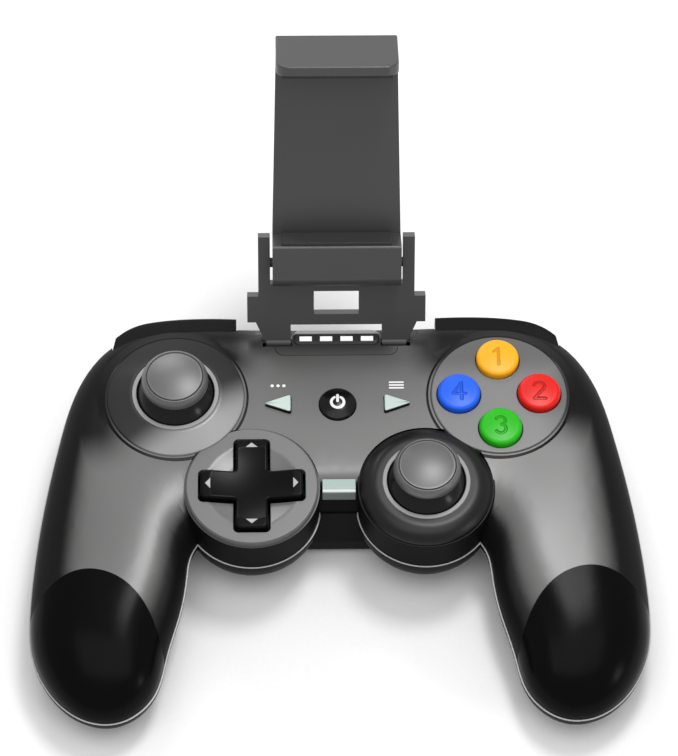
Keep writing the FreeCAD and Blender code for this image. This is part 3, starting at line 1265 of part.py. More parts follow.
def upper_jaw():
    """Clip's sliding half: the upper jaw's head and its slotted tongue."""
    profile = [(HEAD_LOW, PLATE_BACK - 0.2), (HEAD_TOP, PLATE_BACK - 0.2), (HEAD_LIP, HEAD_FRONT),
               (HEAD_LOW, HEAD_FRONT)]
    head = extrude_x(profile, -HEAD_HALF, HEAD_HALF)
    corners = [e for e in head.Edges
               if abs(e.BoundBox.XLength) < 0.01 and e.BoundBox.ZMin > HEAD_FRONT - 0.01]
    head = head.makeFillet(HEAD_ROUND, corners)
    t0 = PLATE_BACK + COVER_T + TONGUE_GAP
    tongue = Part.makeBox(2 * (CHANNEL_HALF - 0.3), HEAD_LOW + 1 - TONGUE_LOW, TONGUE_T,
                          V(-CHANNEL_HALF + 0.3, TONGUE_LOW, t0))
    slots = [Part.makeBox(2 * SLOT_HALF, SLOT_TOP - TONGUE_LOW + 1, 10,
                          V(side * SPRING_X - SLOT_HALF, TONGUE_LOW - 1, -5)) for side in (-1, 1)]
    return leaned(fused(head, tongue.cut(slots)))


def jaw_pad(low, front):
    """Rubber strip on a jaw's gripping face."""
    strip = Part.makeBox(2 * (HEAD_HALF - 1.4), PAD_T, front - PLATE_FRONT - 1.6,
                         V(-HEAD_HALF + 1.4, low, PLATE_FRONT + 0.8))
    return leaned(strip)


def clip_springs():
    """Two coil springs in the tongue's slots, as plain hollow bars."""
    springs = []
    for side in (-1, 1):
        s0 = HOOK_S + HOOK_R + 0.1
        outer = bar_y(SPRING_R, s0, SLOT_TOP - 0.2, side * SPRING_X, -1.0)
        inner = bar_y(SPRING_R - 0.35, s0, SLOT_TOP - 0.2, side * SPRING_X, -1.0)
        springs.append(leaned(outer.cut(inner)))
    return Part.makeCompound(springs)


def bumper_block():
    """The casing's back outline pushed out, upright, with its long edges rounded."""
    plan = [V(st[0], st[1], BUMPER_LOW_Z) for st in inset_half(-BUMPER_PROUD)[:BUMPER_STATIONS]]
    curve = Part.BSplineCurve()
    curve.interpolate(plan)
    front = Part.makePolygon([plan[-1], V(0, plan[-1].y, BUMPER_LOW_Z), plan[0]])
    face = Part.Face(Part.Wire([curve.toShape()] + front.Edges))
    block = face.extrude(V(0, 0, BUMPER_TOP_Z - BUMPER_LOW_Z))
    curved = [e for e in block.Edges if isinstance(e.Curve, Part.BSplineCurve)]
    return block.makeFillet(BUMPER_ROUND, curved)


def bumper(upper):
    """Right shoulder button: a bulging bar round the back corner with a hub on its pin."""
    skin = bumper_zone(0, 0).common(bumper_block()).cut(casing_room(BUMPER_WALL, True))
    hub = disc(BUMPER_HUB_R, BUMPER_PIN_X, BUMPER_PIN_Y, BUMPER_LOW_Z, BUMPER_TOP_Z)
    arm = pin_lug(BUMPER_PIN_X - BUMPER_HUB_R, BUMPER_PIN_X + BUMPER_HUB_R, BUMPER_LOW_Z,
                  BUMPER_TOP_Z, BUMPER_PIN_Y, BUMPER_PIN_Y + BUMPER_ARM).common(upper)
    body = fused(skin, hub, arm)
    return body.cut(disc(BUMPER_PIN_R + RUNNING_GAP, BUMPER_PIN_X, BUMPER_PIN_Y, 10, 30))


def bumper_pins():
    """Upright pins of the two shoulder buttons."""
    pins = [disc(BUMPER_PIN_R, side * BUMPER_PIN_X, BUMPER_PIN_Y, BUMPER_PIN_LOW_Z,
                 BUMPER_PIN_TOP_Z) for side in (-1, 1)]
    return Part.makeCompound(pins)


def trigger():
    """Right trigger: hub, arm and a finger blade that hooks down behind the casing."""
    y = TRIGGER_PIN_Y
    z = TRIGGER_PIN_Z
    blade = extrude_x([(y + dy, z + dz) for dy, dz in TRIGGER_BLADE], TRIGGER_IN_X, TRIGGER_OUT_X)
    plan = rounded_box((TRIGGER_OUT_X - TRIGGER_IN_X) / 2, 0, y + TRIGGER_BACK, 0, PARTING_Z,
                       TRIGGER_ROUND)
    plan.translate(V((TRIGGER_IN_X + TRIGGER_OUT_X) / 2, 0, 0))
    blade = blade.common(plan)
    hub = bar_x(TRIGGER_HUB_R, TRIGGER_IN_X, TRIGGER_OUT_X, y, z)
    body = fused(blade, hub)
    coil_room = bar_x(TRIGGER_COIL_R + 0.5, *TRIGGER_COIL_X, y, z)
    bore = bar_x(TRIGGER_PIN_R + RUNNING_GAP, 20, 60, y, z)
    return body.cut([bore, coil_room])


def trigger_pins():
    """Pins of the two triggers."""
    pin = bar_x(TRIGGER_PIN_R, TRIGGER_IN_X - TRIGGER_PIN_END, TRIGGER_OUT_X + TRIGGER_PIN_END,
                TRIGGER_PIN_Y, TRIGGER_PIN_Z)
    return Part.makeCompound([pin, mirrored(pin)])


def trigger_coils():
    """Return springs of the triggers, coiled round their pins."""
    x0, x1 = TRIGGER_COIL_X
    coil = bar_x(TRIGGER_COIL_R, x0 + TRIGGER_COIL_GAP, x1 - TRIGGER_COIL_GAP, TRIGGER_PIN_Y,
                 TRIGGER_PIN_Z)
    coil = coil.cut(bar_x(TRIGGER_PIN_R + 0.15, x0, x1, TRIGGER_PIN_Y, TRIGGER_PIN_Z))
    return Part.makeCompound([coil, mirrored(coil)])


def build():
    """Every piece by name."""
    upper = casing_half(0, True)
    lower = casing_half(-RIM_STEP, False)
    skin = casing_room(GRIP_T, True)
    grip_cuts = []
    panels = {}
    for side, name in ((-1, "left_grip_panel"), (1, "right_grip_panel")):
        zone = grip_prism(side)
        panels[name] = zone.common(upper).cut(skin)
        grip_cuts.append(zone.cut(skin))
    nodes = dict(panels)
    nodes["front_shell"] = front_shell(upper, grip_cuts)
    nodes["rear_shell"] = rear_shell(lower)
    nodes["main_board"] = main_board()
    nodes["left_stick_bezel"] = stick_bezel_left()
    nodes["right_stick_bezel"] = stick_bezel_right()
    nodes["face_button_bezel"] = button_bezel()
    nodes["cross_key_bezel"] = cross_bezel()
    names = ("right", "top", "left", "bottom")
    for name, (x, y) in zip(names, face_plan_points()):
        nodes["face_button_" + name] = face_button(x, y)
    nodes["select_key"] = arrow_key(-1)
    nodes["start_key"] = arrow_key(1)
    nodes["home_button"] = home_button()
    nodes["bar_key"] = bar_key()
    nodes["cross_key"] = cross_key()
    nodes["cross_pivot"] = cross_pivot()
    nodes["face_button_pad"] = button_pad()
    nodes["centre_key_pad"] = centre_pad()
    nodes["cross_key_pad"] = cross_pad()
    for name, x, y in (("left_stick", -BEZEL_X, BEZEL_Y), ("right_stick", POD_X, POD_Y)):
        nodes[name + "_module"] = stick_module(x, y)
        nodes[name + "_yoke"] = stick_yoke(x, y)
        nodes[name + "_gimbal"] = stick_gimbal(x, y)
        nodes[name + "_dome"] = stick_dome(x, y)
        nodes[name + "_cap"] = stick_cap(x, y)
        nodes[name + "_collar"] = stick_collar(x, y)
    nodes["shell_screws"] = shell_screws()
    nodes["board_screws"] = board_screws()
    nodes["charging_socket"] = usb_socket()
    nodes["battery_pack"] = battery()
    nodes["hinge_panel"] = hinge_panel(upper)
    nodes["light_window"] = light_window()
    nodes["light_guide"] = light_guide()
    nodes["status_lights"] = status_lights()
    nodes["bracket_hinge_pins"] = Part.makeCompound([hinge_pin(), mirrored(hinge_pin())])
    nodes["phone_bracket"] = phone_bracket()
    nodes["clip_pin"] = clip_pin()
    nodes["clip_frame"] = clip_frame()
    nodes["clip_cover"] = clip_cover()
    nodes["clip_cover_screws"] = cover_screws()
    nodes["clip_springs"] = clip_springs()
    nodes["upper_jaw"] = upper_jaw()
    nodes["lower_jaw_pad"] = jaw_pad(JAW_TOP, JAW_FRONT)
    nodes["upper_jaw_pad"] = jaw_pad(HEAD_LOW - PAD_T, HEAD_FRONT)
    right_bumper = bumper(upper)
    nodes["right_bumper"] = right_bumper
    nodes["left_bumper"] = mirrored(right_bumper)
    nodes["bumper_pins"] = bumper_pins()
    nodes["right_trigger"] = trigger()
    nodes["left_trigger"] = mirrored(nodes["right_trigger"])
    nodes["trigger_pins"] = trigger_pins()
    nodes["trigger_springs"] = trigger_coils()
    nodes["shoulder_boards"] = Part.makeCompound([shoulder_board(-1), shoulder_board(1)])
    return nodes


for name, shape in build().items():
    print(name, len(shape.Solids), shape.isValid(), round(shape.Volume, 1))
    shape.exportStep("parts/" + name + ".step")
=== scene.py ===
import math

import bmesh
import bpy
import numpy as np
from mathutils import Matrix, Vector


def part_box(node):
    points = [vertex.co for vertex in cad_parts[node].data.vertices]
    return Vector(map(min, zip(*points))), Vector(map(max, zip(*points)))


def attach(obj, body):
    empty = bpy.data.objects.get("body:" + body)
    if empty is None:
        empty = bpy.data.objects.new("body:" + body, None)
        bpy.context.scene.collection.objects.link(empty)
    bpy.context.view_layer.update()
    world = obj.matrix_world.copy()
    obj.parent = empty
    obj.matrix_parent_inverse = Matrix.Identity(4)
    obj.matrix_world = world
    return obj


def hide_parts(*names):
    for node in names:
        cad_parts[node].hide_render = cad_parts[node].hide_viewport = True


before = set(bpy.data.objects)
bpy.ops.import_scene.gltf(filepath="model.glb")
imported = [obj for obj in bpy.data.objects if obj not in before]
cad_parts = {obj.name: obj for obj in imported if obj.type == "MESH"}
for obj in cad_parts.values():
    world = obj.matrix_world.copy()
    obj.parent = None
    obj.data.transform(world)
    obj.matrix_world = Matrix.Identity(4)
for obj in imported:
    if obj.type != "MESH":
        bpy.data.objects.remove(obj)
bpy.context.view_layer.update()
MM = 0.001


# Rear shell
# One deep moulding in black satin plastic: belly, tower bases and battery hump.
# Its rim stands a hair proud of the front shell, and a pale highlight is painted on that ledge.

DRIFT_SCALE = 38.0                    # drifts of tone over a moulding, per metre
SMEAR_SCALE = 95.0                    # and of its gloss
WELD = 0.0005 * MM                    # corners of a CAD node's triangles this close are one
SHELL_CREASE = 32                     # degrees; faces that meet at more show an edge
CROOK_HALF = 4.7 * MM                 # between the towers no highlight is painted on the ledge
LEDGE_TILT = (0.90, 0.97)             # the painted highlight on the ledge sets in between these


def add(tree, kind, own=None, **inputs):
    """A shader node. own holds its settings, inputs its numbers, colours or linked sockets.

    An input goes by its name, with _ for a space, or by its number, as in i6.
    """
    made = tree.nodes.new(kind)
    for key, value in (own or {}).items():
        setattr(made, key, value)
    for key, value in inputs.items():
        by_number = key[0] == "i" and key[1:].isdigit()
        socket = made.inputs[int(key[1:]) if by_number else key.replace("_", " ")]
        if isinstance(value, bpy.types.NodeSocket):
            tree.links.new(value, socket)
        else:
            socket.default_value = value
    return made


def maths(tree, operation, a, b=0.0, c=0.0):
    """The result of one sum on numbers or sockets."""
    return add(tree, "ShaderNodeMath", {"operation": operation}, i0=a, i1=b, i2=c).outputs[0]


def step_between(tree, value, low, high):
    """0 below low, 1 above high, smooth in between."""
    made = add(tree, "ShaderNodeMapRange", {"interpolation_type": "SMOOTHSTEP"},
               Value=value, From_Min=low, From_Max=high)
    return made.outputs["Result"]


def blend_colour(tree, share, a, b):
    """Colour a, going over to colour b as share goes from 0 to 1."""
    return add(tree, "ShaderNodeMix", {"data_type": "RGBA"}, Factor=share, i6=a, i7=b).outputs[2]


def coordinates(tree):
    """The object's X, Y and Z at each point of a surface, in metres."""
    place = add(tree, "ShaderNodeTexCoord").outputs["Object"]
    return add(tree, "ShaderNodeSeparateXYZ", Vector=place).outputs


def surface_tilt(tree):
    """How far the surface faces up: 1 level, 0 upright, -1 facing down."""
    facing = add(tree, "ShaderNodeNewGeometry").outputs["Normal"]
    return add(tree, "ShaderNodeSeparateXYZ", Vector=facing).outputs["Z"]


def grey(level, warmth=0.0):
    """A grey in linear light, a touch warmer or cooler."""
    return (level * (1 + warmth), level, level * (1 - warmth), 1.0)


def group_of(name, inputs, outputs):
    """An empty node group with its sockets, and its two end nodes."""
    group = bpy.data.node_groups.new(name, "ShaderNodeTree")
    for label, value in inputs.items():
        socket = group.interface.new_socket(name=label, in_out="INPUT", socket_type="NodeSocketFloat")
        socket.default_value = value
    for label in outputs:
        group.interface.new_socket(name=label, in_out="OUTPUT", socket_type="NodeSocketFloat")
    return group, group.nodes.new("NodeGroupInput"), group.nodes.new("NodeGroupOutput")


def moulding_grain():
    """What a textured mould leaves: a fine pebbled height, slow drifts of tone and of gloss."""
    group, given, result = group_of(
        "moulding_grain", {"Pebble Size": 0.25, "Tone Drift": 0.06, "Gloss": 0.4, "Gloss Drift": 0.05},
        ["Tone", "Roughness", "Height"])
    place = add(group, "ShaderNodeTexCoord").outputs["Object"]
    fine = maths(group, "DIVIDE", 1 / MM, given.outputs["Pebble Size"])
    pebbles = add(group, "ShaderNodeTexNoise", Vector=place, Scale=fine, Detail=2.0, Roughness=0.55)
    drift = add(group, "ShaderNodeTexNoise", Vector=place, Scale=DRIFT_SCALE, Detail=3.0,
                Roughness=0.5)
    smears = add(group, "ShaderNodeTexNoise", Vector=place, Scale=SMEAR_SCALE, Detail=4.0,
                 Roughness=0.6)
    swing = maths(group, "SUBTRACT", drift.outputs["Fac"], 0.5)
    tone = maths(group, "MULTIPLY_ADD", swing, given.outputs["Tone Drift"], 1.0)
    sway = maths(group, "SUBTRACT", smears.outputs["Fac"], 0.5)
    rough = maths(group, "MULTIPLY_ADD", sway, given.outputs["Gloss Drift"], given.outputs["Gloss"])
    group.links.new(tone, result.inputs["Tone"])
    group.links.new(rough, result.inputs["Roughness"])
    group.links.new(pebbles.outputs["Fac"], result.inputs["Height"])
    return group


GRAIN = moulding_grain()


def plastic(name, colour, gloss=0.4, pebble=0.25, depth=0.004, specular=0.4, tone=0.08, paint=None,
            drift=0.05, lacquer=None, lacquer_gloss=0.3):
    """A moulded plastic; the width and the depth of its pebbles are in millimetres.

    paint, if given, turns (tree, base colour) into the painted colour, and lacquer turns
    the tree into the share of clear coat.
    """
    made = bpy.data.materials.new(name)
    made.use_nodes = True
    tree = made.node_tree
    shader = tree.nodes["Principled BSDF"]
    grain = add(tree, "ShaderNodeGroup", {"node_tree": GRAIN}, Pebble_Size=pebble, Tone_Drift=tone,
                Gloss=gloss, Gloss_Drift=drift)
    base = paint(tree, colour) if paint else colour
    toned = add(tree, "ShaderNodeMix", {"data_type": "RGBA", "blend_type": "MULTIPLY"},
                Factor=1.0, i6=base, i7=grain.outputs["Tone"])
    bump = add(tree, "ShaderNodeBump", Strength=1.0, Distance=depth * MM,
               Height=grain.outputs["Height"])
    tree.links.new(toned.outputs[2], shader.inputs["Base Color"])
    tree.links.new(grain.outputs["Roughness"], shader.inputs["Roughness"])
    tree.links.new(bump.outputs["Normal"], shader.inputs["Normal"])
    shader.inputs["Specular IOR Level"].default_value = specular
    if lacquer:
        tree.links.new(lacquer(tree), shader.inputs["Coat Weight"])
        shader.inputs["Coat Roughness"].default_value = lacquer_gloss
        shader.inputs["Coat IOR"].default_value = 1.6
    return made


def merged(node):
    """A copy of a CAD node's mesh, its loose triangles joined corner to corner."""
    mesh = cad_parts[node].data.copy()
    work = bmesh.new()
    work.from_mesh(mesh)
    bmesh.ops.remove_doubles(work, verts=work.verts, dist=WELD)
    bmesh.ops.dissolve_degenerate(work, edges=work.edges, dist=WELD)
    work.to_mesh(mesh)
    work.free()
    for layer in [a.name for a in mesh.attributes if a.name == "custom_normal"]:
        mesh.attributes.remove(mesh.attributes[layer])
    return mesh


def shade(mesh, crease):
    """Smooth shading, with an edge where faces meet at more than crease degrees."""
    mesh.polygons.foreach_set("use_smooth", np.ones(len(mesh.polygons), bool))
    mesh.set_sharp_from_angle(angle=math.radians(crease))
    return mesh


def settle(name, mesh, material, body, slot, *nodes):
    """A finished piece: in its material, on its body, standing for its CAD nodes."""
    piece = bpy.data.objects.new(name, mesh)
    bpy.context.scene.collection.objects.link(piece)
    mesh.materials.clear()
    mesh.materials.append(material)
    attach(piece, body)
    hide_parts(*nodes)
    return piece


# a highlight painted on the rim's ledge
LEDGE_HIGHLIGHT = grey(0.62)


def ledge_painted_highlight(tree, base):
    """A painted highlight, pale where the rear shell's rim faces straight up; its own colour elsewhere.
    """
    outside = maths(tree, "GREATER_THAN", maths(tree, "ABSOLUTE", coordinates(tree)["X"]), CROOK_HALF)
    share = maths(tree, "MULTIPLY", step_between(tree, surface_tilt(tree), *LEDGE_TILT), outside)
    return blend_colour(tree, share, base, LEDGE_HIGHLIGHT)


rear_black = plastic("rear_black", grey(0.008), gloss=0.42, specular=0.06, paint=ledge_painted_highlight)
settle("rear_shell_skin", shade(merged("rear_shell"), SHELL_CREASE), rear_black, "casing",
       "rear_black", "rear_shell")


# Front shell
# The face of the gamepad, one moulding in satin grey, with shade painted on it: darker towards the
# back, black down its sides, at the back corners, outer flanks and right tower.
# Two small signs are printed in white above the arrow keys.

FACE_GREY = grey(0.100, 0.01)
# the two greys below are painted shade: one towards the back, one down the sides and in the corners
BACK_SHADE_GREY = grey(0.026, 0.01)
SHADE_BLACK = grey(0.006)
FADE_Y = (18 * MM, -14 * MM)          # the painted shade at the back lifts to full grey between these
SIDE_TILT = (0.80, 0.995)             # as it leans, painted shade goes from black to grey between these
LACQUER_TILT = (0.55, 0.97)           # and its lacquer sets in between these
BARE_SHARE = 0.85                     # share of the lacquer that the areas painted in shade lack
TOWER_X = 22.0 * MM                   # shade is painted black on the right tower up to its rim
TOWER_Y = -31.6 * MM
TOWER_R = 17.5 * MM
TOWER_RIM_Z = 25.1 * MM
CORNER_X = (49 * MM, 61 * MM)         # painted shade at the back corners deepens outwards between these
CORNER_Y = (-23 * MM, -9 * MM)        # and towards the back between these
CORNER_LEFT = 5 * MM                  # the painted shade at the left corner starts so much further forward
EDGE_X = (17 * MM, 28 * MM)           # painted shade on the back edge beside the hinge deepens outwards
EDGE_Y = (-2 * MM, 7 * MM)            # and towards the back between these
FLANK_TILT = (0.10, 0.44)             # painted shade on the outer flanks deepens as they lean out between these
SIGN_WHITE = grey(0.80)
SIGN_X = 15.2 * MM
SIGN_Y = -1.5 * MM
SIGN_LOW_Z = 25.3 * MM                # the print lies above this
SIGN_BAR = (1.9 * MM, 0.22 * MM)      # half length and half thickness of a bar
SIGN_STEP = 0.85 * MM
SIGN_DOT = 0.42 * MM
SIGN_DOT_STEP = 1.5 * MM
SIGN_END = 1.4                        # a sign's three bars or dots end so many steps out


def hypotenuse(tree, u, v):
    """The root of u squared plus v squared."""
    return maths(tree, "SQRT", maths(tree, "ADD", maths(tree, "MULTIPLY", u, u),
                                     maths(tree, "MULTIPLY", v, v)))


def off_steps(tree, value, step):
    """How far a value lies from the nearest whole number of steps."""
    nearest = maths(tree, "ROUND", maths(tree, "DIVIDE", value, step))
    return maths(tree, "SUBTRACT", value, maths(tree, "MULTIPLY", nearest, step))


def within(tree, value, limit):
    """1 where a value lies less than a limit from 0 on either side."""
    return maths(tree, "LESS_THAN", maths(tree, "ABSOLUTE", value), limit)


def printed_signs(tree):
    """1 on the print: three bars over the right key and three dots over the left one."""
    spot = coordinates(tree)
    up = maths(tree, "SUBTRACT", spot["Y"], SIGN_Y)
    right = maths(tree, "SUBTRACT", spot["X"], SIGN_X)
    left = maths(tree, "ADD", spot["X"], SIGN_X)
    bars = maths(tree, "MULTIPLY", within(tree, off_steps(tree, up, SIGN_STEP), SIGN_BAR[1]),
                 within(tree, right, SIGN_BAR[0]))
    bars = maths(tree, "MULTIPLY", bars, within(tree, up, SIGN_END * SIGN_STEP))
    away = hypotenuse(tree, off_steps(tree, left, SIGN_DOT_STEP), up)
    dots = maths(tree, "MULTIPLY", maths(tree, "LESS_THAN", away, SIGN_DOT),
                 within(tree, left, SIGN_END * SIGN_DOT_STEP))
    on_top = maths(tree, "GREATER_THAN", spot["Z"], SIGN_LOW_Z)
    return maths(tree, "MULTIPLY", maths(tree, "MAXIMUM", bars, dots), on_top)


def shaded_outer_flank(tree):
    """Where shade is painted on the outer flanks: 1 where the shell leans outwards, away from the
    midline, running out to the face.
    """
    side = maths(tree, "SIGN", coordinates(tree)["X"])
    facing = add(tree, "ShaderNodeNewGeometry").outputs["Normal"]
    lean = maths(tree, "MULTIPLY", add(tree, "ShaderNodeSeparateXYZ", Vector=facing).outputs["X"], side)
    return step_between(tree, lean, *FLANK_TILT)


def painted_shade_areas(tree):
    """Where shade is painted: 1 on the right tower, the back corners and outer flanks, running out to
    the face.
    """
    spot = coordinates(tree)
    off_middle = maths(tree, "ABSOLUTE", spot["X"])
    ahead = maths(tree, "MULTIPLY", maths(tree, "LESS_THAN", spot["X"], 0.0), CORNER_LEFT)
    corner = maths(tree, "MULTIPLY", step_between(tree, off_middle, *CORNER_X),
                   step_between(tree, maths(tree, "ADD", spot["Y"], ahead), *CORNER_Y))
    edge = maths(tree, "MULTIPLY", step_between(tree, off_middle, *EDGE_X),
                 step_between(tree, spot["Y"], *EDGE_Y))
    away = hypotenuse(tree, maths(tree, "SUBTRACT", spot["X"], TOWER_X),
                      maths(tree, "SUBTRACT", spot["Y"], TOWER_Y))
    tower = maths(tree, "MULTIPLY", maths(tree, "LESS_THAN", away, TOWER_R),
                  maths(tree, "LESS_THAN", spot["Z"], TOWER_RIM_Z))
    back = maths(tree, "MAXIMUM", corner, edge)
    return maths(tree, "MAXIMUM", maths(tree, "MAXIMUM", back, tower), shaded_outer_flank(tree))


def face_with_painted_shade(tree, base):
    """Grey where the shell faces up, with shade painted in: darker towards the back and black down its
    sides, at the back corners, outer flanks and right tower; the white signs printed on top.
    """
    lower = add(tree, "ShaderNodeMapRange", Value=coordinates(tree)["Y"], From_Min=FADE_Y[0],
                From_Max=FADE_Y[1])
    face = blend_colour(tree, lower.outputs["Result"], BACK_SHADE_GREY, base)
    face = blend_colour(tree, painted_shade_areas(tree), face, SHADE_BLACK)
    face = blend_colour(tree, step_between(tree, surface_tilt(tree), *SIDE_TILT), SHADE_BLACK, face)
    return blend_colour(tree, printed_signs(tree), face, SIGN_WHITE)


def face_lacquer(tree):
    """Satin lacquer on the face, running out down the sides and where shade is painted at the corners.
    """
    face = step_between(tree, surface_tilt(tree), *LACQUER_TILT)
    left = maths(tree, "SUBTRACT", 1.0, maths(tree, "MULTIPLY", painted_shade_areas(tree), BARE_SHARE))
    return maths(tree, "MULTIPLY", face, left)


shell_grey = plastic("shell_grey", FACE_GREY, gloss=0.45, specular=0.03, paint=face_with_painted_shade,
                     lacquer=face_lacquer, lacquer_gloss=0.34)
for name in ("front_shell", "hinge_panel"):
    settle(name + "_skin", shade(merged(name), SHELL_CREASE), shell_grey, "casing", "shell_grey", name)


# Grip panels
# Thin inlays in polished black, let in flush over both grips.
# Their face is bare and glossy, with faint handling smears.

gloss_black = plastic("gloss_black", grey(0.002), gloss=0.24, pebble=0.6, depth=0.0, specular=0.06,
                      tone=0.02, drift=0.10)
for name in ("left_grip_panel", "right_grip_panel"):
    settle(name + "_skin", shade(merged(name), SHELL_CREASE), gloss_black, "casing", "gloss_black",
           name)


# Trims round the controls
# Separate satin grey discs round the face buttons and the cross key, and a polished black
# domed ring on the right stick's tower. Each is pressed into its seat.

FLAT_DEGREES = 0.6                    # faces that meet at less than this are one flat face
EDGE_DEGREES = 30                     # edges sharper than this are rounded
TRIM_CREASE = 40


def softened(node, width):
    """A merged copy of a CAD node whose flat faces are joined up and whose edges are rounded.

    Each edge gives way to an arc in three steps, which starts width millimetres from it.
    """
    mesh = merged(node)
    work = bmesh.new()
    work.from_mesh(mesh)
    bmesh.ops.dissolve_limit(work, angle_limit=math.radians(FLAT_DEGREES), verts=work.verts,
                             edges=work.edges)
    limit = math.radians(EDGE_DEGREES)
    sharp = [e for e in work.edges if e.is_manifold and e.calc_face_angle(0.0) > limit]
    bmesh.ops.bevel(work, geom=sharp, offset=width * MM, offset_type="OFFSET", segments=3,
                    profile=0.5, affect="EDGES", clamp_overlap=True, loop_slide=True)
    work.to_mesh(mesh)
    work.free()
    return shade(mesh, TRIM_CREASE)


def weighted(piece):
    """Leaves flat faces flat beside their rounded edges."""
    normals = piece.modifiers.new("flat_faces", "WEIGHTED_NORMAL")
    normals.keep_sharp = True
    normals.weight = 80
    return piece


bezel_grey = plastic("bezel_grey", grey(0.108), gloss=0.45, specular=0.10, pebble=0.3,
                     lacquer=face_lacquer, lacquer_gloss=0.32)
for name in ("face_button_bezel", "cross_key_bezel"):
    weighted(settle(name + "_form", softened(name, width=0.18), bezel_grey, "casing", "bezel_grey",
                    name))
tower_black = plastic("tower_black", grey(0.004), gloss=0.34, specular=0.34, drift=0.08, depth=0.001)
settle("right_stick_bezel_form", shade(merged("right_stick_bezel"), TRIM_CREASE), tower_black,
       "casing", "gloss_black", "right_stick_bezel")


# Left disc and stick collars
# A coned satin grey disc with shade painted on it, near black at the back going over to grey at the
# front, and thin pale rings pressed into the mouths of the two wells.

BEZEL_SEAT_Z = 24.9
BEZEL_R = 17.5
BEZEL_EDGE_Z = 26.4
BEZEL_MOUTH_R = 11.1
BEZEL_MOUTH_Z = 28.2
BEZEL_LAND = 0.6                      # the level ring round the mouth
DOME_GAP_R = 11.9                     # the round room left for the stick's skirt
DOME_MIDDLE_Z = 22.0
COLLAR_IN_R = 10.0
COLLAR_OUT_R = 11.08
COLLAR_LOW_Z = 27.4
COLLAR_TOP_Z = 28.5
COLLAR_LIP = 0.35                     # height of the upright inner side
COLLAR_FOOT = 0.5                     # how far the foot starts outside the inner side
COLLAR_HOLLOW = (0.45, 0.1)           # from the inner side and the foot to the lip's underside
DISC_FADE = (3 * MM, 12.5 * MM)       # the painted shade on the disc lifts to full grey between these
DISC_ALONG = (0.54, -0.84)            # measured from its middle in this direction
# near black painted shade at the back of the disc
DISC_SHADE = grey(0.022)
DISC_LACQUER = 0.4                    # share of the lacquer where shade is painted on it
TURNED_CREASE = 50


def grid_mesh(name, points, rings=False):
    """A mesh through a grid of points whose rows are closed loops.

    Cell (i, j) is the quad between rows i and i + 1 and columns j and j + 1; the last column
    meets the first, and with rings the last row meets the first too. Rows drawn in to a
    point are closed there.
    """
    rows, around = points.shape[:2]
    i = np.arange(rows if rings else rows - 1)[:, None]
    j = np.arange(around)[None, :]
    after = (i + 1) % rows
    beside = (j + 1) % around
    quads = np.stack([i * around + j, i * around + beside, after * around + beside,
                      after * around + j], axis=-1).reshape(-1, 4)
    mesh = bpy.data.meshes.new(name)
    mesh.from_pydata(points.reshape(-1, 3).tolist(), [], quads.tolist())
    work = bmesh.new()
    work.from_mesh(mesh)
    bmesh.ops.remove_doubles(work, verts=work.verts, dist=1e-7)
    bmesh.ops.recalc_face_normals(work, faces=work.faces)
    work.to_mesh(mesh)
    work.free()
    return mesh


def eased(corners, reach, steps=7):
    """A line through corners in which each corner gives way to a parabola.

    With c the corner and a and b the points a reach before and after it, the parabola is
    (1 - t)^2 a + 2 t (1 - t) c + t^2 b. A reach of 0 keeps the corner.
    """
    corners = np.asarray(corners, float)
    t = np.linspace(0, 1, steps)[:, None]
    line = [corners[:1]]
    for before, corner, after, r in zip(corners[:-2], corners[1:-1], corners[2:], reach):
        if r == 0:
            line.append(corner[None, :])
            continue
        a = corner + (before - corner) / np.linalg.norm(before - corner) * r
        b = corner + (after - corner) / np.linalg.norm(after - corner) * r
        line.append((1 - t) ** 2 * a + 2 * t * (1 - t) * corner + t ** 2 * b)
    line.append(corners[-1:])
    return np.vstack(line)


def lathed(name, profile, x, y, sides=160, rings=False):
    """A profile of (radius, z) in millimetres turned about the upright line at x, y.

    A point is (x + r cos a, y + r sin a, z), with a going once round.
    """
    a = np.linspace(0, 2 * np.pi, sides, endpoint=False)[None, :]
    r = profile[:, :1]
    z = profile[:, 1:]
    points = np.stack([x + r * np.cos(a), y + r * np.sin(a), z + 0 * a], axis=-1)
    return grid_mesh(name, points * MM, rings)


def middle(node):
    """Middle of a node's plan, in millimetres."""
    low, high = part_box(node)
    return (low.x + high.x) / 2 / MM, (low.y + high.y) / 2 / MM


def disc_unshaded_share(tree):
    """Share left by the painted shade: 0 at the back and the outer side of the left disc, 1 at its
    front and inner side.
    """
    spot = coordinates(tree)
    x, y = middle("left_stick_bezel")
    u = maths(tree, "SUBTRACT", spot["X"], x * MM)
    v = maths(tree, "SUBTRACT", spot["Y"], y * MM)
    along = maths(tree, "ADD", maths(tree, "MULTIPLY", u, DISC_ALONG[0]),
                  maths(tree, "MULTIPLY", v, DISC_ALONG[1]))
    return step_between(tree, along, *DISC_FADE)


def disc_painted_shade(tree, base):
    """Painted shade: near black going over to full grey."""
    return blend_colour(tree, disc_unshaded_share(tree), DISC_SHADE, base)


def disc_lacquer(tree):
    """Lacquer as on the face, thin where shade is painted on the disc."""
    left = maths(tree, "MULTIPLY_ADD", disc_unshaded_share(tree), 1 - DISC_LACQUER, DISC_LACQUER)
    return maths(tree, "MULTIPLY", face_lacquer(tree), left)


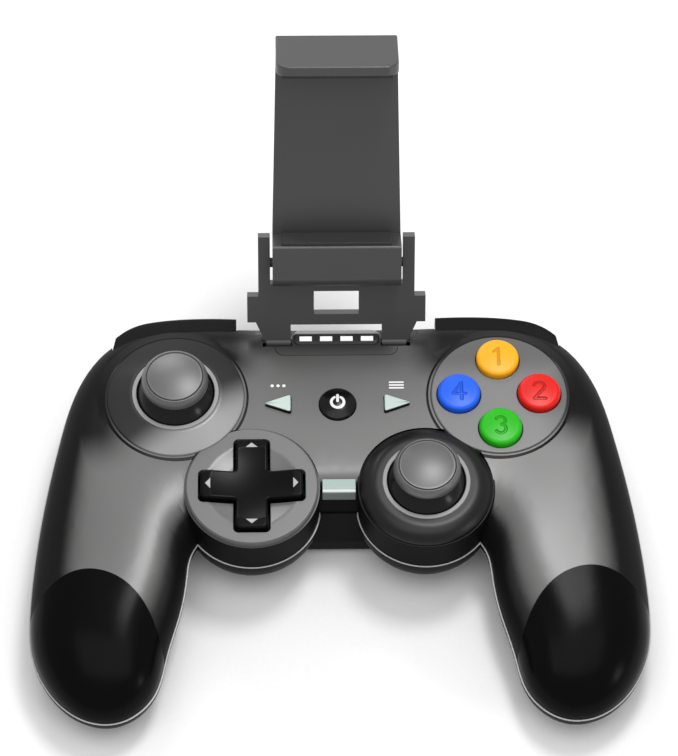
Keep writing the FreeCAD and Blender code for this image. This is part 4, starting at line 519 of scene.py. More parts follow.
def disc_profile():
    """Foot, upright edge, long soft cone, the collar's seat and the round bore of the disc.

    In the bore the radius is the root of DOME_GAP_R squared less the height over the
    skirt's middle squared.
    """
    z = np.linspace(COLLAR_LOW_Z, BEZEL_SEAT_Z, 10)
    bore = np.column_stack([np.sqrt(DOME_GAP_R ** 2 - (z - DOME_MIDDLE_Z) ** 2), z])
    outside = eased([bore[-1], (BEZEL_R, BEZEL_SEAT_Z), (BEZEL_R, BEZEL_EDGE_Z),
                     (BEZEL_MOUTH_R + BEZEL_LAND, BEZEL_MOUTH_Z), (BEZEL_MOUTH_R, BEZEL_MOUTH_Z),
                     (BEZEL_MOUTH_R, COLLAR_LOW_Z), bore[0]], [0.1, 0.35, 0.3, 0.1, 0.0], 9)
    return np.vstack([outside, bore[1:-1]])


def collar_profile():
    """Foot, outer side, top, inner side and the lip's sloping underside of a collar."""
    return eased([(COLLAR_IN_R + COLLAR_FOOT, COLLAR_LOW_Z), (COLLAR_OUT_R, COLLAR_LOW_Z),
                  (COLLAR_OUT_R, COLLAR_TOP_Z), (COLLAR_IN_R, COLLAR_TOP_Z),
                  (COLLAR_IN_R, COLLAR_TOP_Z - COLLAR_LIP),
                  (COLLAR_IN_R + COLLAR_HOLLOW[0], COLLAR_LOW_Z + COLLAR_HOLLOW[1])],
                 [0.1, 0.28, 0.22, 0.1])


disc_grey = plastic("disc_grey", grey(0.235), gloss=0.45, specular=0.10, pebble=0.3,
                    paint=disc_painted_shade, lacquer=disc_lacquer, lacquer_gloss=0.32)
disc_form = lathed("left_disc", disc_profile(), *middle("left_stick_bezel"), rings=True)
weighted(settle("left_stick_bezel_form", shade(disc_form, TURNED_CREASE), disc_grey, "casing",
                "bezel_grey", "left_stick_bezel"))
collar_grey = plastic("collar_grey", grey(0.30), gloss=0.42, specular=0.4)
for side in ("left", "right"):
    x, y = middle(side + "_stick_collar")
    mesh = shade(lathed(side + "_collar", collar_profile(), x, y, rings=True), TURNED_CREASE)
    weighted(settle(side + "_collar_ring", mesh, collar_grey, "casing", "collar_grey",
                    side + "_stick_collar"))


# Sticks
# A polished black shaft and skirt under each cap, and a soft rubber cap pushed on the shaft:
# a thumb pad, gently crowned, inside a rounded rim.

STICK_PIVOT_Z = 22.0
DOME_R = 11.5
DOME_WALL = 1.2
DOME_SKIRT_DEG = 16.0
NECK_R = 6.4
CAP_R = 8.5
CAP_LOW_Z = 33.4
CAP_SIDE_Z = 35.1                     # where the cap's upright side turns into its rim
PAD_R = 7.1
PAD_EDGE_Z = 36.05
PAD_TOP_Z = 36.98
PAD_START_R = PAD_R - 0.4
RIM_TOP = (PAD_R + 0.3, 36.3)         # radius and height of the rim's highest line
GROOVE = (PAD_R + 0.02, 35.7)         # of the fine groove inside it
PAD_LIP = (PAD_R - 0.16, 36.15)       # and of the pad's own edge
SHAFT_R = 2.0
SHAFT_SHOULDER_R = 3.2
SHAFT_SHOULDER_Z = 24.0
SHAFT_END_Z = 18.0


def skirt_profile():
    """Shaft, then the underside of the round skirt, its edge, its outside and the neck.

    The skirt is two arcs about the pivot, of the dome's radius and of that less its wall.
    """
    edge = math.radians(DOME_SKIRT_DEG)
    inner_r = DOME_R - DOME_WALL
    inner = np.linspace(math.acos(SHAFT_SHOULDER_R / inner_r), edge, 20)
    outer = np.linspace(edge, math.acos(NECK_R / DOME_R), 24)
    under = np.column_stack([inner_r * np.cos(inner), STICK_PIVOT_Z + inner_r * np.sin(inner)])
    over = np.column_stack([DOME_R * np.cos(outer), STICK_PIVOT_Z + DOME_R * np.sin(outer)])
    shaft = [(0, SHAFT_END_Z), (SHAFT_R, SHAFT_END_Z), (SHAFT_R, SHAFT_SHOULDER_Z),
             (SHAFT_SHOULDER_R, SHAFT_SHOULDER_Z)]
    return np.vstack([shaft, under, over, [(NECK_R, CAP_LOW_Z), (0, CAP_LOW_Z)]])


def cap_profile():
    """Underside, rounded rim, a fine groove and the crowned pad of a stick's cap.

    The crown is PAD_TOP_Z less (radius / PAD_R) squared times its rise.
    """
    rim = eased([(0, CAP_LOW_Z), (CAP_R, CAP_LOW_Z), (CAP_R, CAP_SIDE_Z), RIM_TOP, GROOVE, PAD_LIP],
                [0.5, 1.0, 0.45, 0.12], 9)
    r = np.linspace(PAD_START_R, 0, 26)
    crown = np.column_stack([r, PAD_TOP_Z - (PAD_TOP_Z - PAD_EDGE_Z) * (r / PAD_R) ** 2])
    return np.vstack([rim, crown])


dome_black = plastic("dome_black", grey(0.006), gloss=0.22, specular=0.25, depth=0.0)
stick_rubber = plastic("stick_rubber", grey(0.070), gloss=0.40, pebble=0.18, depth=0.003,
                       specular=1.0, tone=0.05)
for side in ("left", "right"):
    x, y = middle(side + "_stick_dome")
    skirt = shade(lathed(side + "_skirt", skirt_profile(), x, y), crease=35)
    settle(side + "_stick_skirt", skirt, dome_black, side + "_stick", "key_black",
           side + "_stick_dome")
    cap = shade(lathed(side + "_cap", cap_profile(), x, y), crease=60)
    settle(side + "_thumb_cap", cap, stick_rubber, side + "_stick", "stick_rubber",
           side + "_stick_cap")


# Face buttons
# Four moulded caps in yellow, red, green and blue plastic. Each has a softly rounded edge, a
# slight crown and a numeral pressed into it, with shade painted into the numeral, and stands on a
# flange and a stem.

BUTTON_R = 5.5
BUTTON_TOP_Z = 28.5
BUTTON_CROWN = 0.35
BUTTON_ROUND = 1.1
BUTTON_CROWN_START = (BUTTON_R - 1.6 * BUTTON_ROUND, BUTTON_TOP_Z - BUTTON_CROWN + 0.12)
BUTTON_FLANGE_R = 6.6
BUTTON_FLANGE_Z = (21.2, 22.2)
BUTTON_STEM_R = 3.2
STEM_END_Z = 19.5
FOOT_EASE = [0.1, 0.0, 0.1, 0.1]      # how far the foot's corners are rounded
CAP_SIDES = 224
CAP_RINGS = 110
CAP_CREASE = 40
NUMERAL_HEIGHT = 4.9
NUMERAL_DEPTH = 0.30
STROKE_HALF = 0.34
STROKE_SOFT = 0.20
MARK_SLACK = 0.01                     # points so far below the crown's edge are off the mark
MARK_SHADE_TONE = 0.66                    # tone of the shade painted inside the numeral, as a share of the cap's colour
BUTTONS = {
    "top": ("1", "button_yellow", (0.90, 0.39, 0.008, 1.0)),
    "right": ("2", "button_red", (0.66, 0.008, 0.004, 1.0)),
    "bottom": ("3", "button_green", (0.014, 0.43, 0.003, 1.0)),
    "left": ("4", "button_blue", (0.012, 0.115, 0.82, 1.0)),
}


def arc(x, y, r, start, end, steps=14):
    """Points (x + r cos a, y + r sin a) with a from one angle to another, in degrees."""
    a = np.radians(np.linspace(start, end, steps))
    return np.column_stack([x + r * np.cos(a), y + r * np.sin(a)])


def numeral_strokes():
    """Each numeral as lines in a box one unit high, centred on 0, 0."""
    return {
        "1": [np.array([(-0.20, 0.30), (0.04, 0.5), (0.04, -0.5)])],
        "2": [np.vstack([arc(0, 0.23, 0.27, 165, -38), [(-0.28, -0.5), (0.30, -0.5)]])],
        "3": [np.vstack([arc(-0.01, 0.25, 0.25, 150, -75), arc(-0.01, -0.23, 0.27, 75, -150)])],
        "4": [np.array([(0.13, -0.5), (0.13, 0.5), (-0.32, -0.17), (0.33, -0.17)])],
    }


def pressed(x, y, strokes, size, half, soft):
    """How deep a mark is at x, y: 1 in the middle of a stroke, 0 away from it.

    The distance to a stroke from a to b is |p - (a + h (b - a))| with h the share
    (p - a).(b - a) / |b - a|^2 kept within 0 and 1; depth falls smoothly from half - soft
    to half + soft.
    """
    spot = np.stack([x, y], axis=-1)[..., None, :]
    nearest = np.full(x.shape, np.inf)
    for line in strokes:
        a = line[:-1] * size
        b = line[1:] * size
        along = b - a
        h = np.clip(((spot - a) * along).sum(-1) / (along ** 2).sum(-1), 0, 1)
        gap = np.linalg.norm(spot - (a + h[..., None] * along), axis=-1).min(-1)
        nearest = np.minimum(nearest, gap)
    t = np.clip((half + soft - nearest) / (2 * soft), 0, 1)
    return t * t * (3 - 2 * t)


def marked_cap(name, side_profile, top_z, x, y, mark, depth):
    """A round cap whose crowned top has a mark pressed into it.

    The side profile leads up to the crown's edge. From there the height is the edge's plus
    (1 - (radius / edge radius)^2) of the rise to top_z, less depth times the mark, which is
    kept as an attribute for the material.
    """
    edge_r, edge_z = side_profile[-1]
    over = np.linspace(edge_r, 0, CAP_RINGS)[1:]
    crown = edge_z + (top_z - edge_z) * (1 - (over / edge_r) ** 2)
    r = np.concatenate([side_profile[:, 0], over])[:, None]
    a = np.linspace(0, 2 * np.pi, CAP_SIDES, endpoint=False)[None, :]
    plan_x = r * np.cos(a)
    plan_y = r * np.sin(a)
    z = np.concatenate([side_profile[:, 1], crown])[:, None] + 0 * a
    first = len(side_profile)
    z[first:] -= depth * pressed(plan_x[first:], plan_y[first:], *mark)
    mesh = grid_mesh(name, np.stack([x + plan_x, y + plan_y, z], axis=-1) * MM)
    co = np.zeros(len(mesh.vertices) * 3)
    mesh.vertices.foreach_get("co", co)
    co = co.reshape(-1, 3) / MM
    kept = pressed(co[:, 0] - x, co[:, 1] - y, *mark)
    kept[co[:, 2] < edge_z - depth - MARK_SLACK] = 0
    layer = mesh.attributes.new("mark", "FLOAT", "POINT")
    layer.data.foreach_set("value", kept.astype(np.float32))
    return shade(mesh, CAP_CREASE)


def mark_depth(tree):
    """The pressed mark, kept on the mesh."""
    return add(tree, "ShaderNodeAttribute", {"attribute_name": "mark"}).outputs["Fac"]


def shadowed_mark(tree, base):
    """The cap's own colour, with shade painted a third deeper where the numeral is pressed in."""
    deeper = tuple(MARK_SHADE_TONE * c for c in base[:3]) + (1.0,)
    return blend_colour(tree, mark_depth(tree), base, deeper)


def key_foot(stem_r, flange_r, flange_z):
    """Corners of a key's stem and of the flange that keeps it under the shell."""
    low, high = flange_z
    return [(0, STEM_END_Z), (stem_r, STEM_END_Z), (stem_r, low), (flange_r, low), (flange_r, high)]


def button_profile():
    """Stem, flange and rounded side of a button, up to where its crowned top starts."""
    foot = key_foot(BUTTON_STEM_R, BUTTON_FLANGE_R, BUTTON_FLANGE_Z)
    side = [(BUTTON_R, BUTTON_FLANGE_Z[1]), (BUTTON_R, BUTTON_TOP_Z - BUTTON_CROWN),
            BUTTON_CROWN_START]
    return eased(foot + side, FOOT_EASE + [0.0, BUTTON_ROUND], 10)


strokes = numeral_strokes()
for place, (numeral, slot, colour) in BUTTONS.items():
    x, y = middle("face_button_" + place)
    mark = (strokes[numeral], NUMERAL_HEIGHT, STROKE_HALF, STROKE_SOFT)
    mesh = marked_cap("cap_" + place, button_profile(), BUTTON_TOP_Z, x, y, mark, NUMERAL_DEPTH)
    finish = plastic(slot, colour, gloss=0.34, specular=0.25, depth=0.002, tone=0.05,
                     paint=shadowed_mark)
    settle("face_button_%s_cap" % place, mesh, finish, "button_" + place, slot,
           "face_button_" + place)


# Home button
# A polished black plastic button, slightly crowned, with a standby sign printed in white.
# Like the face buttons it stands on a stem, and a flange keeps it under the shell.

HOME_R = 4.7
HOME_TOP_Z = 27.3
HOME_EDGE_Z = 26.2
HOME_CROWN_START = (HOME_R - 0.7, HOME_EDGE_Z + 0.28)
HOME_ROUND = 0.4
HOME_FLANGE_R = 5.8
KEY_FLANGE_Z = (22.05, 23.05)
SMALL_STEM_R = 2.2
HOME_SIGN = (3.5, 0.36, 0.10)         # height, half a stroke's width and the softness of its edge
HOME_PRINT = 0.02                     # thickness of the ink
PRINT_EDGE = (0.35, 0.65)             # the ink's edge on the mark lies between these
STANDBY = [arc(0, -0.04, 0.46, 120, 420, 28), np.array([(0.0, 0.56), (0.0, 0.02)])]


def home_profile():
    """Stem, flange and rounded side of the home button."""
    foot = key_foot(SMALL_STEM_R, HOME_FLANGE_R, KEY_FLANGE_Z)
    side = [(HOME_R, KEY_FLANGE_Z[1]), (HOME_R, HOME_EDGE_Z), HOME_CROWN_START]
    return eased(foot + side, FOOT_EASE + [0.0, HOME_ROUND])


def white_print(tree, base):
    """Black, with the sign in white ink."""
    return blend_colour(tree, step_between(tree, mark_depth(tree), *PRINT_EDGE), base, SIGN_WHITE)


home_mesh = marked_cap("home_cap", home_profile(), HOME_TOP_Z, *middle("home_button"),
                       (STANDBY,) + HOME_SIGN, HOME_PRINT)
home_black = plastic("home_black", grey(0.004), gloss=0.22, specular=0.25, depth=0.0,
                     paint=white_print)
settle("home_button_cap", home_mesh, home_black, "home_button_body", "gloss_black", "home_button")


# Arrow keys
# Two small three-cornered caps beside the home button, pale, with shade painted black down their
# sides, on a flange and a stem under the shell.

ARROW_TIP_X = 18.9
ARROW_BASE_X = 12.0
ARROW_HALF = 2.6
ARROW_TOP_Z = 26.7
ARROW_ROUND = 0.8
ARROW_EDGE = 0.3
ARROW_LOW_Z = 22.6
ARROW_HEART = 2.3                     # the middle of its top, from its base
ARROW_STEM = 2.6                      # the middle of its stem, from its base
ARROW_FLANGE_R = ARROW_HALF + 1.6
KEY_PALE = (0.50, 0.60, 0.56, 1.0)
KEY_TILT = (0.25, 0.60)               # painted shade on a key's side lifts from black to pale between these


def closed_outline(corners, reach, count):
    """A closed line through corners, each eased by a parabola, as evenly spaced points."""
    corners = np.asarray(corners, float)
    start = (corners[-1] + corners[0]) / 2
    line = eased(np.vstack([start, corners, start]), reach, 10)
    run = np.concatenate([[0], np.cumsum(np.linalg.norm(np.diff(line, axis=0), axis=1))])
    at = np.linspace(0, run[-1], count, endpoint=False)
    return np.column_stack([np.interp(at, run, line[:, 0]), np.interp(at, run, line[:, 1])])


def inset_loop(outline, inset):
    """An anticlockwise outline moved in along its own normals."""
    run = np.roll(outline, -1, axis=0) - np.roll(outline, 1, axis=0)
    run /= np.linalg.norm(run, axis=1, keepdims=True)
    return outline + inset * np.column_stack([-run[:, 1], run[:, 0]])


def level_top(x, y):
    """No rise over the top's height."""
    return 0 * x


def stacked_cap(outline, low_z, top_z, rounding, heart, steps=7, rings=24, top=level_top):
    """Rows of a cap: upright walls, a quarter-round edge and a top closed at its heart.

    Up the edge, the inset is rounding (1 - cos t) and the height rounding (sin t - 1) under
    the top, with t from 0 to 90 degrees. On the top each row is the heart plus a share of
    the way out, at height top(x, y).
    """
    level = np.zeros(len(outline))
    rows = [np.column_stack([level + heart[0], level + heart[1], level + low_z]),
            np.column_stack([outline, level + low_z])]
    for t in np.linspace(0, np.pi / 2, steps):
        loop = inset_loop(outline, rounding * (1 - math.cos(t)))
        rows.append(np.column_stack([loop, top_z + rounding * (math.sin(t) - 1) + top(*loop.T)]))
    last = rows[-1][:, :2]
    for share in np.linspace(1, 0, rings)[1:]:
        loop = heart + share * (last - heart)
        rows.append(np.column_stack([loop, top_z + top(*loop.T)]))
    return np.stack(rows) * MM


def joined_mesh(name, meshes):
    """One mesh from several closed ones."""
    work = bmesh.new()
    for mesh in meshes:
        work.from_mesh(mesh)
    mesh = bpy.data.meshes.new(name)
    work.to_mesh(mesh)
    work.free()
    return mesh


def painted_shade_sides(tree, base):
    """Pale, with shade painted black on the upright sides."""
    return blend_colour(tree, step_between(tree, surface_tilt(tree), *KEY_TILT), SHADE_BLACK, base)


key_pale = plastic("key_pale", KEY_PALE, gloss=0.36, specular=0.4, paint=painted_shade_sides, tone=0.06)
arrow_foot = eased(key_foot(SMALL_STEM_R, ARROW_FLANGE_R, KEY_FLANGE_Z) + [(0, KEY_FLANGE_Z[1])],
                   FOOT_EASE)
for side, name in ((-1, "select_key"), (1, "start_key")):
    key_y = middle(name)[1]
    corners = [(side * ARROW_BASE_X, key_y - ARROW_HALF), (side * ARROW_TIP_X, key_y),
               (side * ARROW_BASE_X, key_y + ARROW_HALF)]
    outline = closed_outline(corners[::side], [ARROW_ROUND] * 3, 150)
    heart = np.array([side * (ARROW_BASE_X + ARROW_HEART), key_y])
    cap = grid_mesh(name + "_cap", stacked_cap(outline, ARROW_LOW_Z, ARROW_TOP_Z, ARROW_EDGE, heart))
    stem = lathed(name + "_stem", arrow_foot, side * (ARROW_BASE_X + ARROW_STEM), key_y, sides=64)
    mesh = shade(joined_mesh(name + "_form", [cap, stem]), crease=45)
    weighted(settle(name + "_cap", mesh, key_pale, name + "_body", "key_pale", name))


# Bar key
# A pale plastic key, moulded in one piece, that folds over the front edge of the face between
# the towers. Shade is painted on its front, and a white highlight is painted along its fold.

BAR_PALE = (0.33, 0.42, 0.39, 1.0)
# painted shade on the front, and a painted white highlight along the fold
BAR_FRONT_SHADE = (0.10, 0.13, 0.125, 1.0)
FOLD_HIGHLIGHT = grey(0.85)
FRONT_TILT = (0.15, 0.50)             # painted shade on the front lifts to the key's own colour between these
FOLD_LOW_TILT = (0.45, 0.65)          # the painted highlight along the fold sets in between these
FOLD_HIGH_TILT = (0.80, 0.97)         # and runs out between these


def fold_highlight_and_front_shade(tree, base):
    """Its own colour on top, a white highlight painted along the fold and shade painted on the front.
    """
    tilt = surface_tilt(tree)
    front = blend_colour(tree, step_between(tree, tilt, *FRONT_TILT), BAR_FRONT_SHADE, base)
    fold = maths(tree, "MULTIPLY", step_between(tree, tilt, *FOLD_LOW_TILT),
                 maths(tree, "SUBTRACT", 1.0, step_between(tree, tilt, *FOLD_HIGH_TILT)))
    return blend_colour(tree, fold, front, FOLD_HIGHLIGHT)


bar_pale = plastic("bar_pale", BAR_PALE, gloss=0.30, specular=0.4, tone=0.05, paint=fold_highlight_and_front_shade)
weighted(settle("bar_key_form", softened("bar_key", width=0.22), bar_pale, "bar_key_body",
                "key_pale", "bar_key"))


# Cross key
# Four arms in polished black with a hollowed middle, and a small pale arrow let into each arm.
# A flange under the shell keeps it in, and a cup takes the ball that it rocks on.

CROSS_REACH = 12.9
CROSS_HALF = 4.0
CROSS_TOP_Z = 28.0
CROSS_SINK = 1.1
CROSS_BASE_Z = 20.3
CROSS_FLANGE_R = 11.6
CROSS_FLANGE_Z = CROSS_BASE_Z + 1.0
CROSS_FLANGE_CROWN = 0.5
CROSS_EDGE = 0.55
CROSS_CORNER = 1.5
CROSS_CROOK = 0.7
DISH_R = CROSS_REACH - 2.2
CUP_R = 2.0
CUP_Z = 19.5
ARROW_AT = 11.1                       # the middle of an arm's arrow, from the key's middle
ARROW_WIDE = 1.5                      # half its width and half its length
ARROW_LONG = 0.65
ARROW_DEEP = 0.7                      # the arrows end this far below the arms' top
ARROW_PALE = grey(0.42)
CROSS_X, CROSS_Y = middle("cross_key")


def cross_corners():
    """The twelve corners of the plus, anticlockwise from the right arm's lower one."""
    arm = [(CROSS_HALF, -CROSS_HALF), (CROSS_REACH, -CROSS_HALF), (CROSS_REACH, CROSS_HALF)]
    corners = []
    for a in (0, math.pi / 2, math.pi, 3 * math.pi / 2):
        for x, y in arm:
            corners.append((CROSS_X + x * math.cos(a) - y * math.sin(a),
                            CROSS_Y + x * math.sin(a) + y * math.cos(a)))
    return corners


def dish(x, y):
    """The hollow: CROSS_SINK (1 - (distance / DISH_R)^2) deep, running out at DISH_R."""
    r = np.hypot(x - CROSS_X, y - CROSS_Y) / DISH_R
    return -CROSS_SINK * np.clip(1 - r ** 2, 0, None)


def flange_profile():
    """The ball's cup, an arc of CUP_R about its middle, then the flange's rim and top."""
    a = np.linspace(math.pi / 2, math.asin((CROSS_BASE_Z - CUP_Z) / CUP_R), 12)
    cup = np.column_stack([CUP_R * np.cos(a), CUP_Z + CUP_R * np.sin(a)])
    return np.vstack([cup, [(CROSS_FLANGE_R, CROSS_BASE_Z), (CROSS_FLANGE_R, CROSS_FLANGE_Z),
                            (0, CROSS_FLANGE_Z + CROSS_FLANGE_CROWN)]])


def pale_arrows(tree, base):
    """Black, with a pale three-cornered mark near the end of each arm, pointing out."""
    spot = coordinates(tree)
    u = maths(tree, "ABSOLUTE", maths(tree, "SUBTRACT", spot["X"], CROSS_X * MM))
    v = maths(tree, "ABSOLUTE", maths(tree, "SUBTRACT", spot["Y"], CROSS_Y * MM))
    out = maths(tree, "MAXIMUM", u, v)
    across = maths(tree, "MINIMUM", u, v)
    past_base = maths(tree, "SUBTRACT", out, (ARROW_AT - ARROW_LONG) * MM)
    slope = ARROW_WIDE / (2 * ARROW_LONG)
    limit = maths(tree, "MULTIPLY_ADD", past_base, -slope, ARROW_WIDE * MM)
    inside = maths(tree, "MULTIPLY", maths(tree, "GREATER_THAN", past_base, 0.0),
                   maths(tree, "LESS_THAN", across, limit))
    on_top = maths(tree, "GREATER_THAN", spot["Z"], (CROSS_TOP_Z - ARROW_DEEP) * MM)
    return blend_colour(tree, maths(tree, "MULTIPLY", inside, on_top), base, ARROW_PALE)


key_black = plastic("key_black", grey(0.003), gloss=0.26, specular=0.08, depth=0.001, drift=0.08,
                    paint=pale_arrows)
outline = closed_outline(cross_corners(), [CROSS_CROOK, CROSS_CORNER, CROSS_CORNER] * 4, 560)
cap = grid_mesh("cross_cap", stacked_cap(outline, CROSS_FLANGE_Z, CROSS_TOP_Z, CROSS_EDGE,
                                         np.array([CROSS_X, CROSS_Y]), rings=44, top=dish))
flange = lathed("cross_flange", flange_profile(), CROSS_X, CROSS_Y)
settle("cross_key_form", shade(joined_mesh("cross_key_mesh", [cap, flange]), CAP_CREASE), key_black,
       "cross", "key_black", "cross_key")


# Light window
# A dark moulded frame with a pale highlight painted along its back edge, let into the hinge panel. Four
# bars of a clear light guide shine through its slots.

FRAME_GREY = grey(0.045)
# a highlight painted along the frame's back edge
FRAME_HIGHLIGHT = grey(0.55)
FRAME_HIGHLIGHT_Y = (14.1 * MM, 14.5 * MM)  # the painted highlight sets in towards the back between these
LIGHT_LEVEL = 0.45
WHITE = (1.0, 1.0, 1.0, 1.0)


def back_painted_highlight(tree, base):
    """Dark grey, with a highlight painted as a pale strip along the back of the frame."""
    share = step_between(tree, coordinates(tree)["Y"], *FRAME_HIGHLIGHT_Y)
    return blend_colour(tree, share, base, FRAME_HIGHLIGHT)


def clear_light(name, strength):
    """Milky plastic that glows evenly."""
    made = plastic(name, grey(0.9), gloss=0.25, depth=0.0)
    shader = made.node_tree.nodes["Principled BSDF"]
    shader.inputs["Emission Color"].default_value = WHITE
    shader.inputs["Emission Strength"].default_value = strength
    return made


light_frame = plastic("light_frame", FRAME_GREY, gloss=0.34, specular=0.3, depth=0.001,
                      paint=back_painted_highlight)
weighted(settle("light_window_frame", softened("light_window", width=0.16), light_frame, "casing",
                "light_frame", "light_window"))
light_clear = clear_light("light_clear", LIGHT_LEVEL)
settle("light_guide_bars", shade(merged("light_guide"), crease=30), light_clear, "casing",
       "light_clear", "light_guide")


# Phone bracket and clip
# Folded on its hinge behind the face: a flat U-shaped bracket and a spring clip whose upper
# jaw slides, all in matt charcoal plastic with softly broken edges and rubber pads in the jaws.

clip_grey = plastic("clip_grey", grey(0.042), gloss=0.36, specular=0.6, pebble=0.2, depth=0.006,
                    tone=0.10)
pad_rubber = plastic("pad_rubber", grey(0.03), gloss=0.7, specular=0.3, pebble=0.3, depth=0.02)
for name, body, width in (("phone_bracket", "bracket", 0.30), ("clip_frame", "clip", 0.35),
                          ("clip_cover", "clip", 0.25), ("upper_jaw", "jaw", 0.40)):
    weighted(settle(name + "_form", softened(name, width), clip_grey, body, "clip_grey", name))
for name, body in (("lower_jaw_pad", "clip"), ("upper_jaw_pad", "jaw")):
    weighted(settle(name + "_form", softened(name, width=0.2), pad_rubber, body, "stick_rubber",
                    name))


# Shoulder buttons and triggers
# Black satin keys let into the back corners, and hooked blades behind them for the fingers.
# A shoulder button's outer end draws in until it is flush with the shell.

BUMPER_OUT_X = 58.0 * MM
END_LENGTH = 9.0 * MM                 # the last stretch of a shoulder button, which draws in
END_STEPS = 12
END_NEAR = 0.8 * END_LENGTH / END_STEPS
END_SINK = 1.6 * MM                   # how far its outer side comes in at the very end
END_INWARD = (-0.55, -0.83)           # plan direction of that, on the right


def drawn_in_end(node):
    """A merged copy of a shoulder button whose outer end runs out flush with the shell.

    With t from 0 to 1 along the last stretch and w from 0 on the inner to 1 on the outer
    side, a corner moves in by END_SINK t^2 w. The sides are the least and greatest Y of the
    corners that lie within END_NEAR of it along the button.
    """
    mesh = merged(node)
    side = math.copysign(1, middle(node)[0])
    work = bmesh.new()
    work.from_mesh(mesh)
    for k in range(END_STEPS):
        plane_x = side * (BUMPER_OUT_X - END_LENGTH * (k + 0.5) / END_STEPS)
        bmesh.ops.bisect_plane(work, geom=work.verts[:] + work.edges[:] + work.faces[:],
                               dist=1e-7, plane_co=(plane_x, 0, 0), plane_no=(1, 0, 0))
    work.to_mesh(mesh)
    work.free()
    co = np.zeros(len(mesh.vertices) * 3)
    mesh.vertices.foreach_get("co", co)
    co = co.reshape(-1, 3)
    off = np.abs(co[:, 0])
    t = np.clip((off - BUMPER_OUT_X + END_LENGTH) / END_LENGTH, 0, 1)
    moved = t > 0
    near = np.abs(off[moved, None] - off[None, :]) < END_NEAR
    inner = np.where(near, co[None, :, 1], np.inf).min(axis=1)
    outer = np.where(near, co[None, :, 1], -np.inf).max(axis=1)
    shift = END_SINK * t[moved] ** 2 * (co[moved, 1] - inner) / (outer - inner)
    co[moved, 0] += side * END_INWARD[0] * shift
    co[moved, 1] += END_INWARD[1] * shift
    mesh.vertices.foreach_set("co", co.ravel())
    mesh.update()
    return shade(mesh, SHELL_CREASE)


shoulder_black = plastic("shoulder_black", grey(0.006), gloss=0.42, specular=0.07, depth=0.002)
for side in ("left", "right"):
    settle(side + "_bumper_form", drawn_in_end(side + "_bumper"), shoulder_black,
           side + "_shoulder_button", "key_black", side + "_bumper")
    weighted(settle(side + "_trigger_form", softened(side + "_trigger", width=0.35), shoulder_black,
                    side + "_trigger_body", "key_black", side + "_trigger"))


# Metal parts
# Screws, pins, springs and the charging socket, turned, wound or pressed from bright steel.
# The pins of the bracket and of the clip are blackened.

DRAWN_SCALE = (300.0, 6000.0, 6000.0)  # the drawn lines run along X
STEEL_ROUGHNESS = (0.22, 0.42)


def steel_finish(name, colour):
    """Steel of a colour, with fine drawn lines across its gloss."""
    made = bpy.data.materials.new(name)
    made.use_nodes = True
    tree = made.node_tree
    shader = tree.nodes["Principled BSDF"]
    place = add(tree, "ShaderNodeTexCoord").outputs["Object"]
    drawn = add(tree, "ShaderNodeMapping", Vector=place, Scale=DRAWN_SCALE)
    lines = add(tree, "ShaderNodeTexNoise", Vector=drawn.outputs["Vector"], Scale=1.0, Detail=3.0)
    rough = add(tree, "ShaderNodeMapRange", Value=lines.outputs["Fac"], To_Min=STEEL_ROUGHNESS[0],
                To_Max=STEEL_ROUGHNESS[1])
    tree.links.new(rough.outputs["Result"], shader.inputs["Roughness"])
    shader.inputs["Base Color"].default_value = colour
    shader.inputs["Metallic"].default_value = 1.0
    return made


def repaint(material, *nodes):
    """CAD nodes that stay as they are, in a better finish."""
    for node in nodes:
        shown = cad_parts[node]
        if not shown.material_slots:
            shown.data.materials.append(material)
        for place in shown.material_slots:
            place.material = material


repaint(steel_finish("steel", grey(0.60)), "shell_screws", "board_screws", "charging_socket",
        "clip_cover_screws", "clip_springs", "bumper_pins", "trigger_pins", "trigger_springs")
repaint(steel_finish("dark_steel", grey(0.035)), "bracket_hinge_pins", "clip_pin")


# Inside
# Green lacquered boards with milky silicone dome pads on them, black plastic stick modules
# and a battery wrapped in blue film.

BOARD_GREEN = (0.015, 0.14, 0.05, 1.0)
TRACK_GREEN = (0.10, 0.34, 0.12, 1.0)
TRACK_SCALE = 90.0
TRACK_SHARE = 0.6
FILM_BLUE = (0.04, 0.10, 0.34, 1.0)
SEAM_BLUE = (0.35, 0.42, 0.55, 1.0)
SEAM_HALF = 2.5 * MM


def board_lacquer(tree, base):
    """Green lacquer with paler copper tracks under it."""
    place = add(tree, "ShaderNodeTexCoord").outputs["Object"]
    tracks = add(tree, "ShaderNodeTexBrick", Vector=place, Scale=TRACK_SCALE)
    share = maths(tree, "MULTIPLY", tracks.outputs["Fac"], TRACK_SHARE)
    return blend_colour(tree, share, base, TRACK_GREEN)


def film_wrap(tree, base):
    """Blue film with a paler seam band."""
    return blend_colour(tree, within(tree, coordinates(tree)["X"], SEAM_HALF), base, SEAM_BLUE)


repaint(plastic("circuit_board", BOARD_GREEN, gloss=0.3, depth=0.0, paint=board_lacquer),
        "main_board", "shoulder_boards")
repaint(plastic("silicone", grey(0.68), gloss=0.5, depth=0.002), "face_button_pad",
        "centre_key_pad", "cross_key_pad")
repaint(plastic("inner_plastic", grey(0.03), gloss=0.5), "left_stick_module", "right_stick_module",
        "left_stick_yoke", "right_stick_yoke", "left_stick_gimbal", "right_stick_gimbal",
        "cross_pivot")
repaint(plastic("battery_wrap", FILM_BLUE, gloss=0.25, depth=0.0, paint=film_wrap), "battery_pack")
repaint(light_clear, "status_lights")


# Floor, light and camera
# A floor of matt white paper, soft studio lamps round the object and an even, dim sky, seen
# from where the photograph was taken.

FLOOR_HALF = 4.0
FLOOR_FAR = (0.3, 0.8)                # from white paper to pure white between these, in metres
WORLD_LEVEL = 0.60


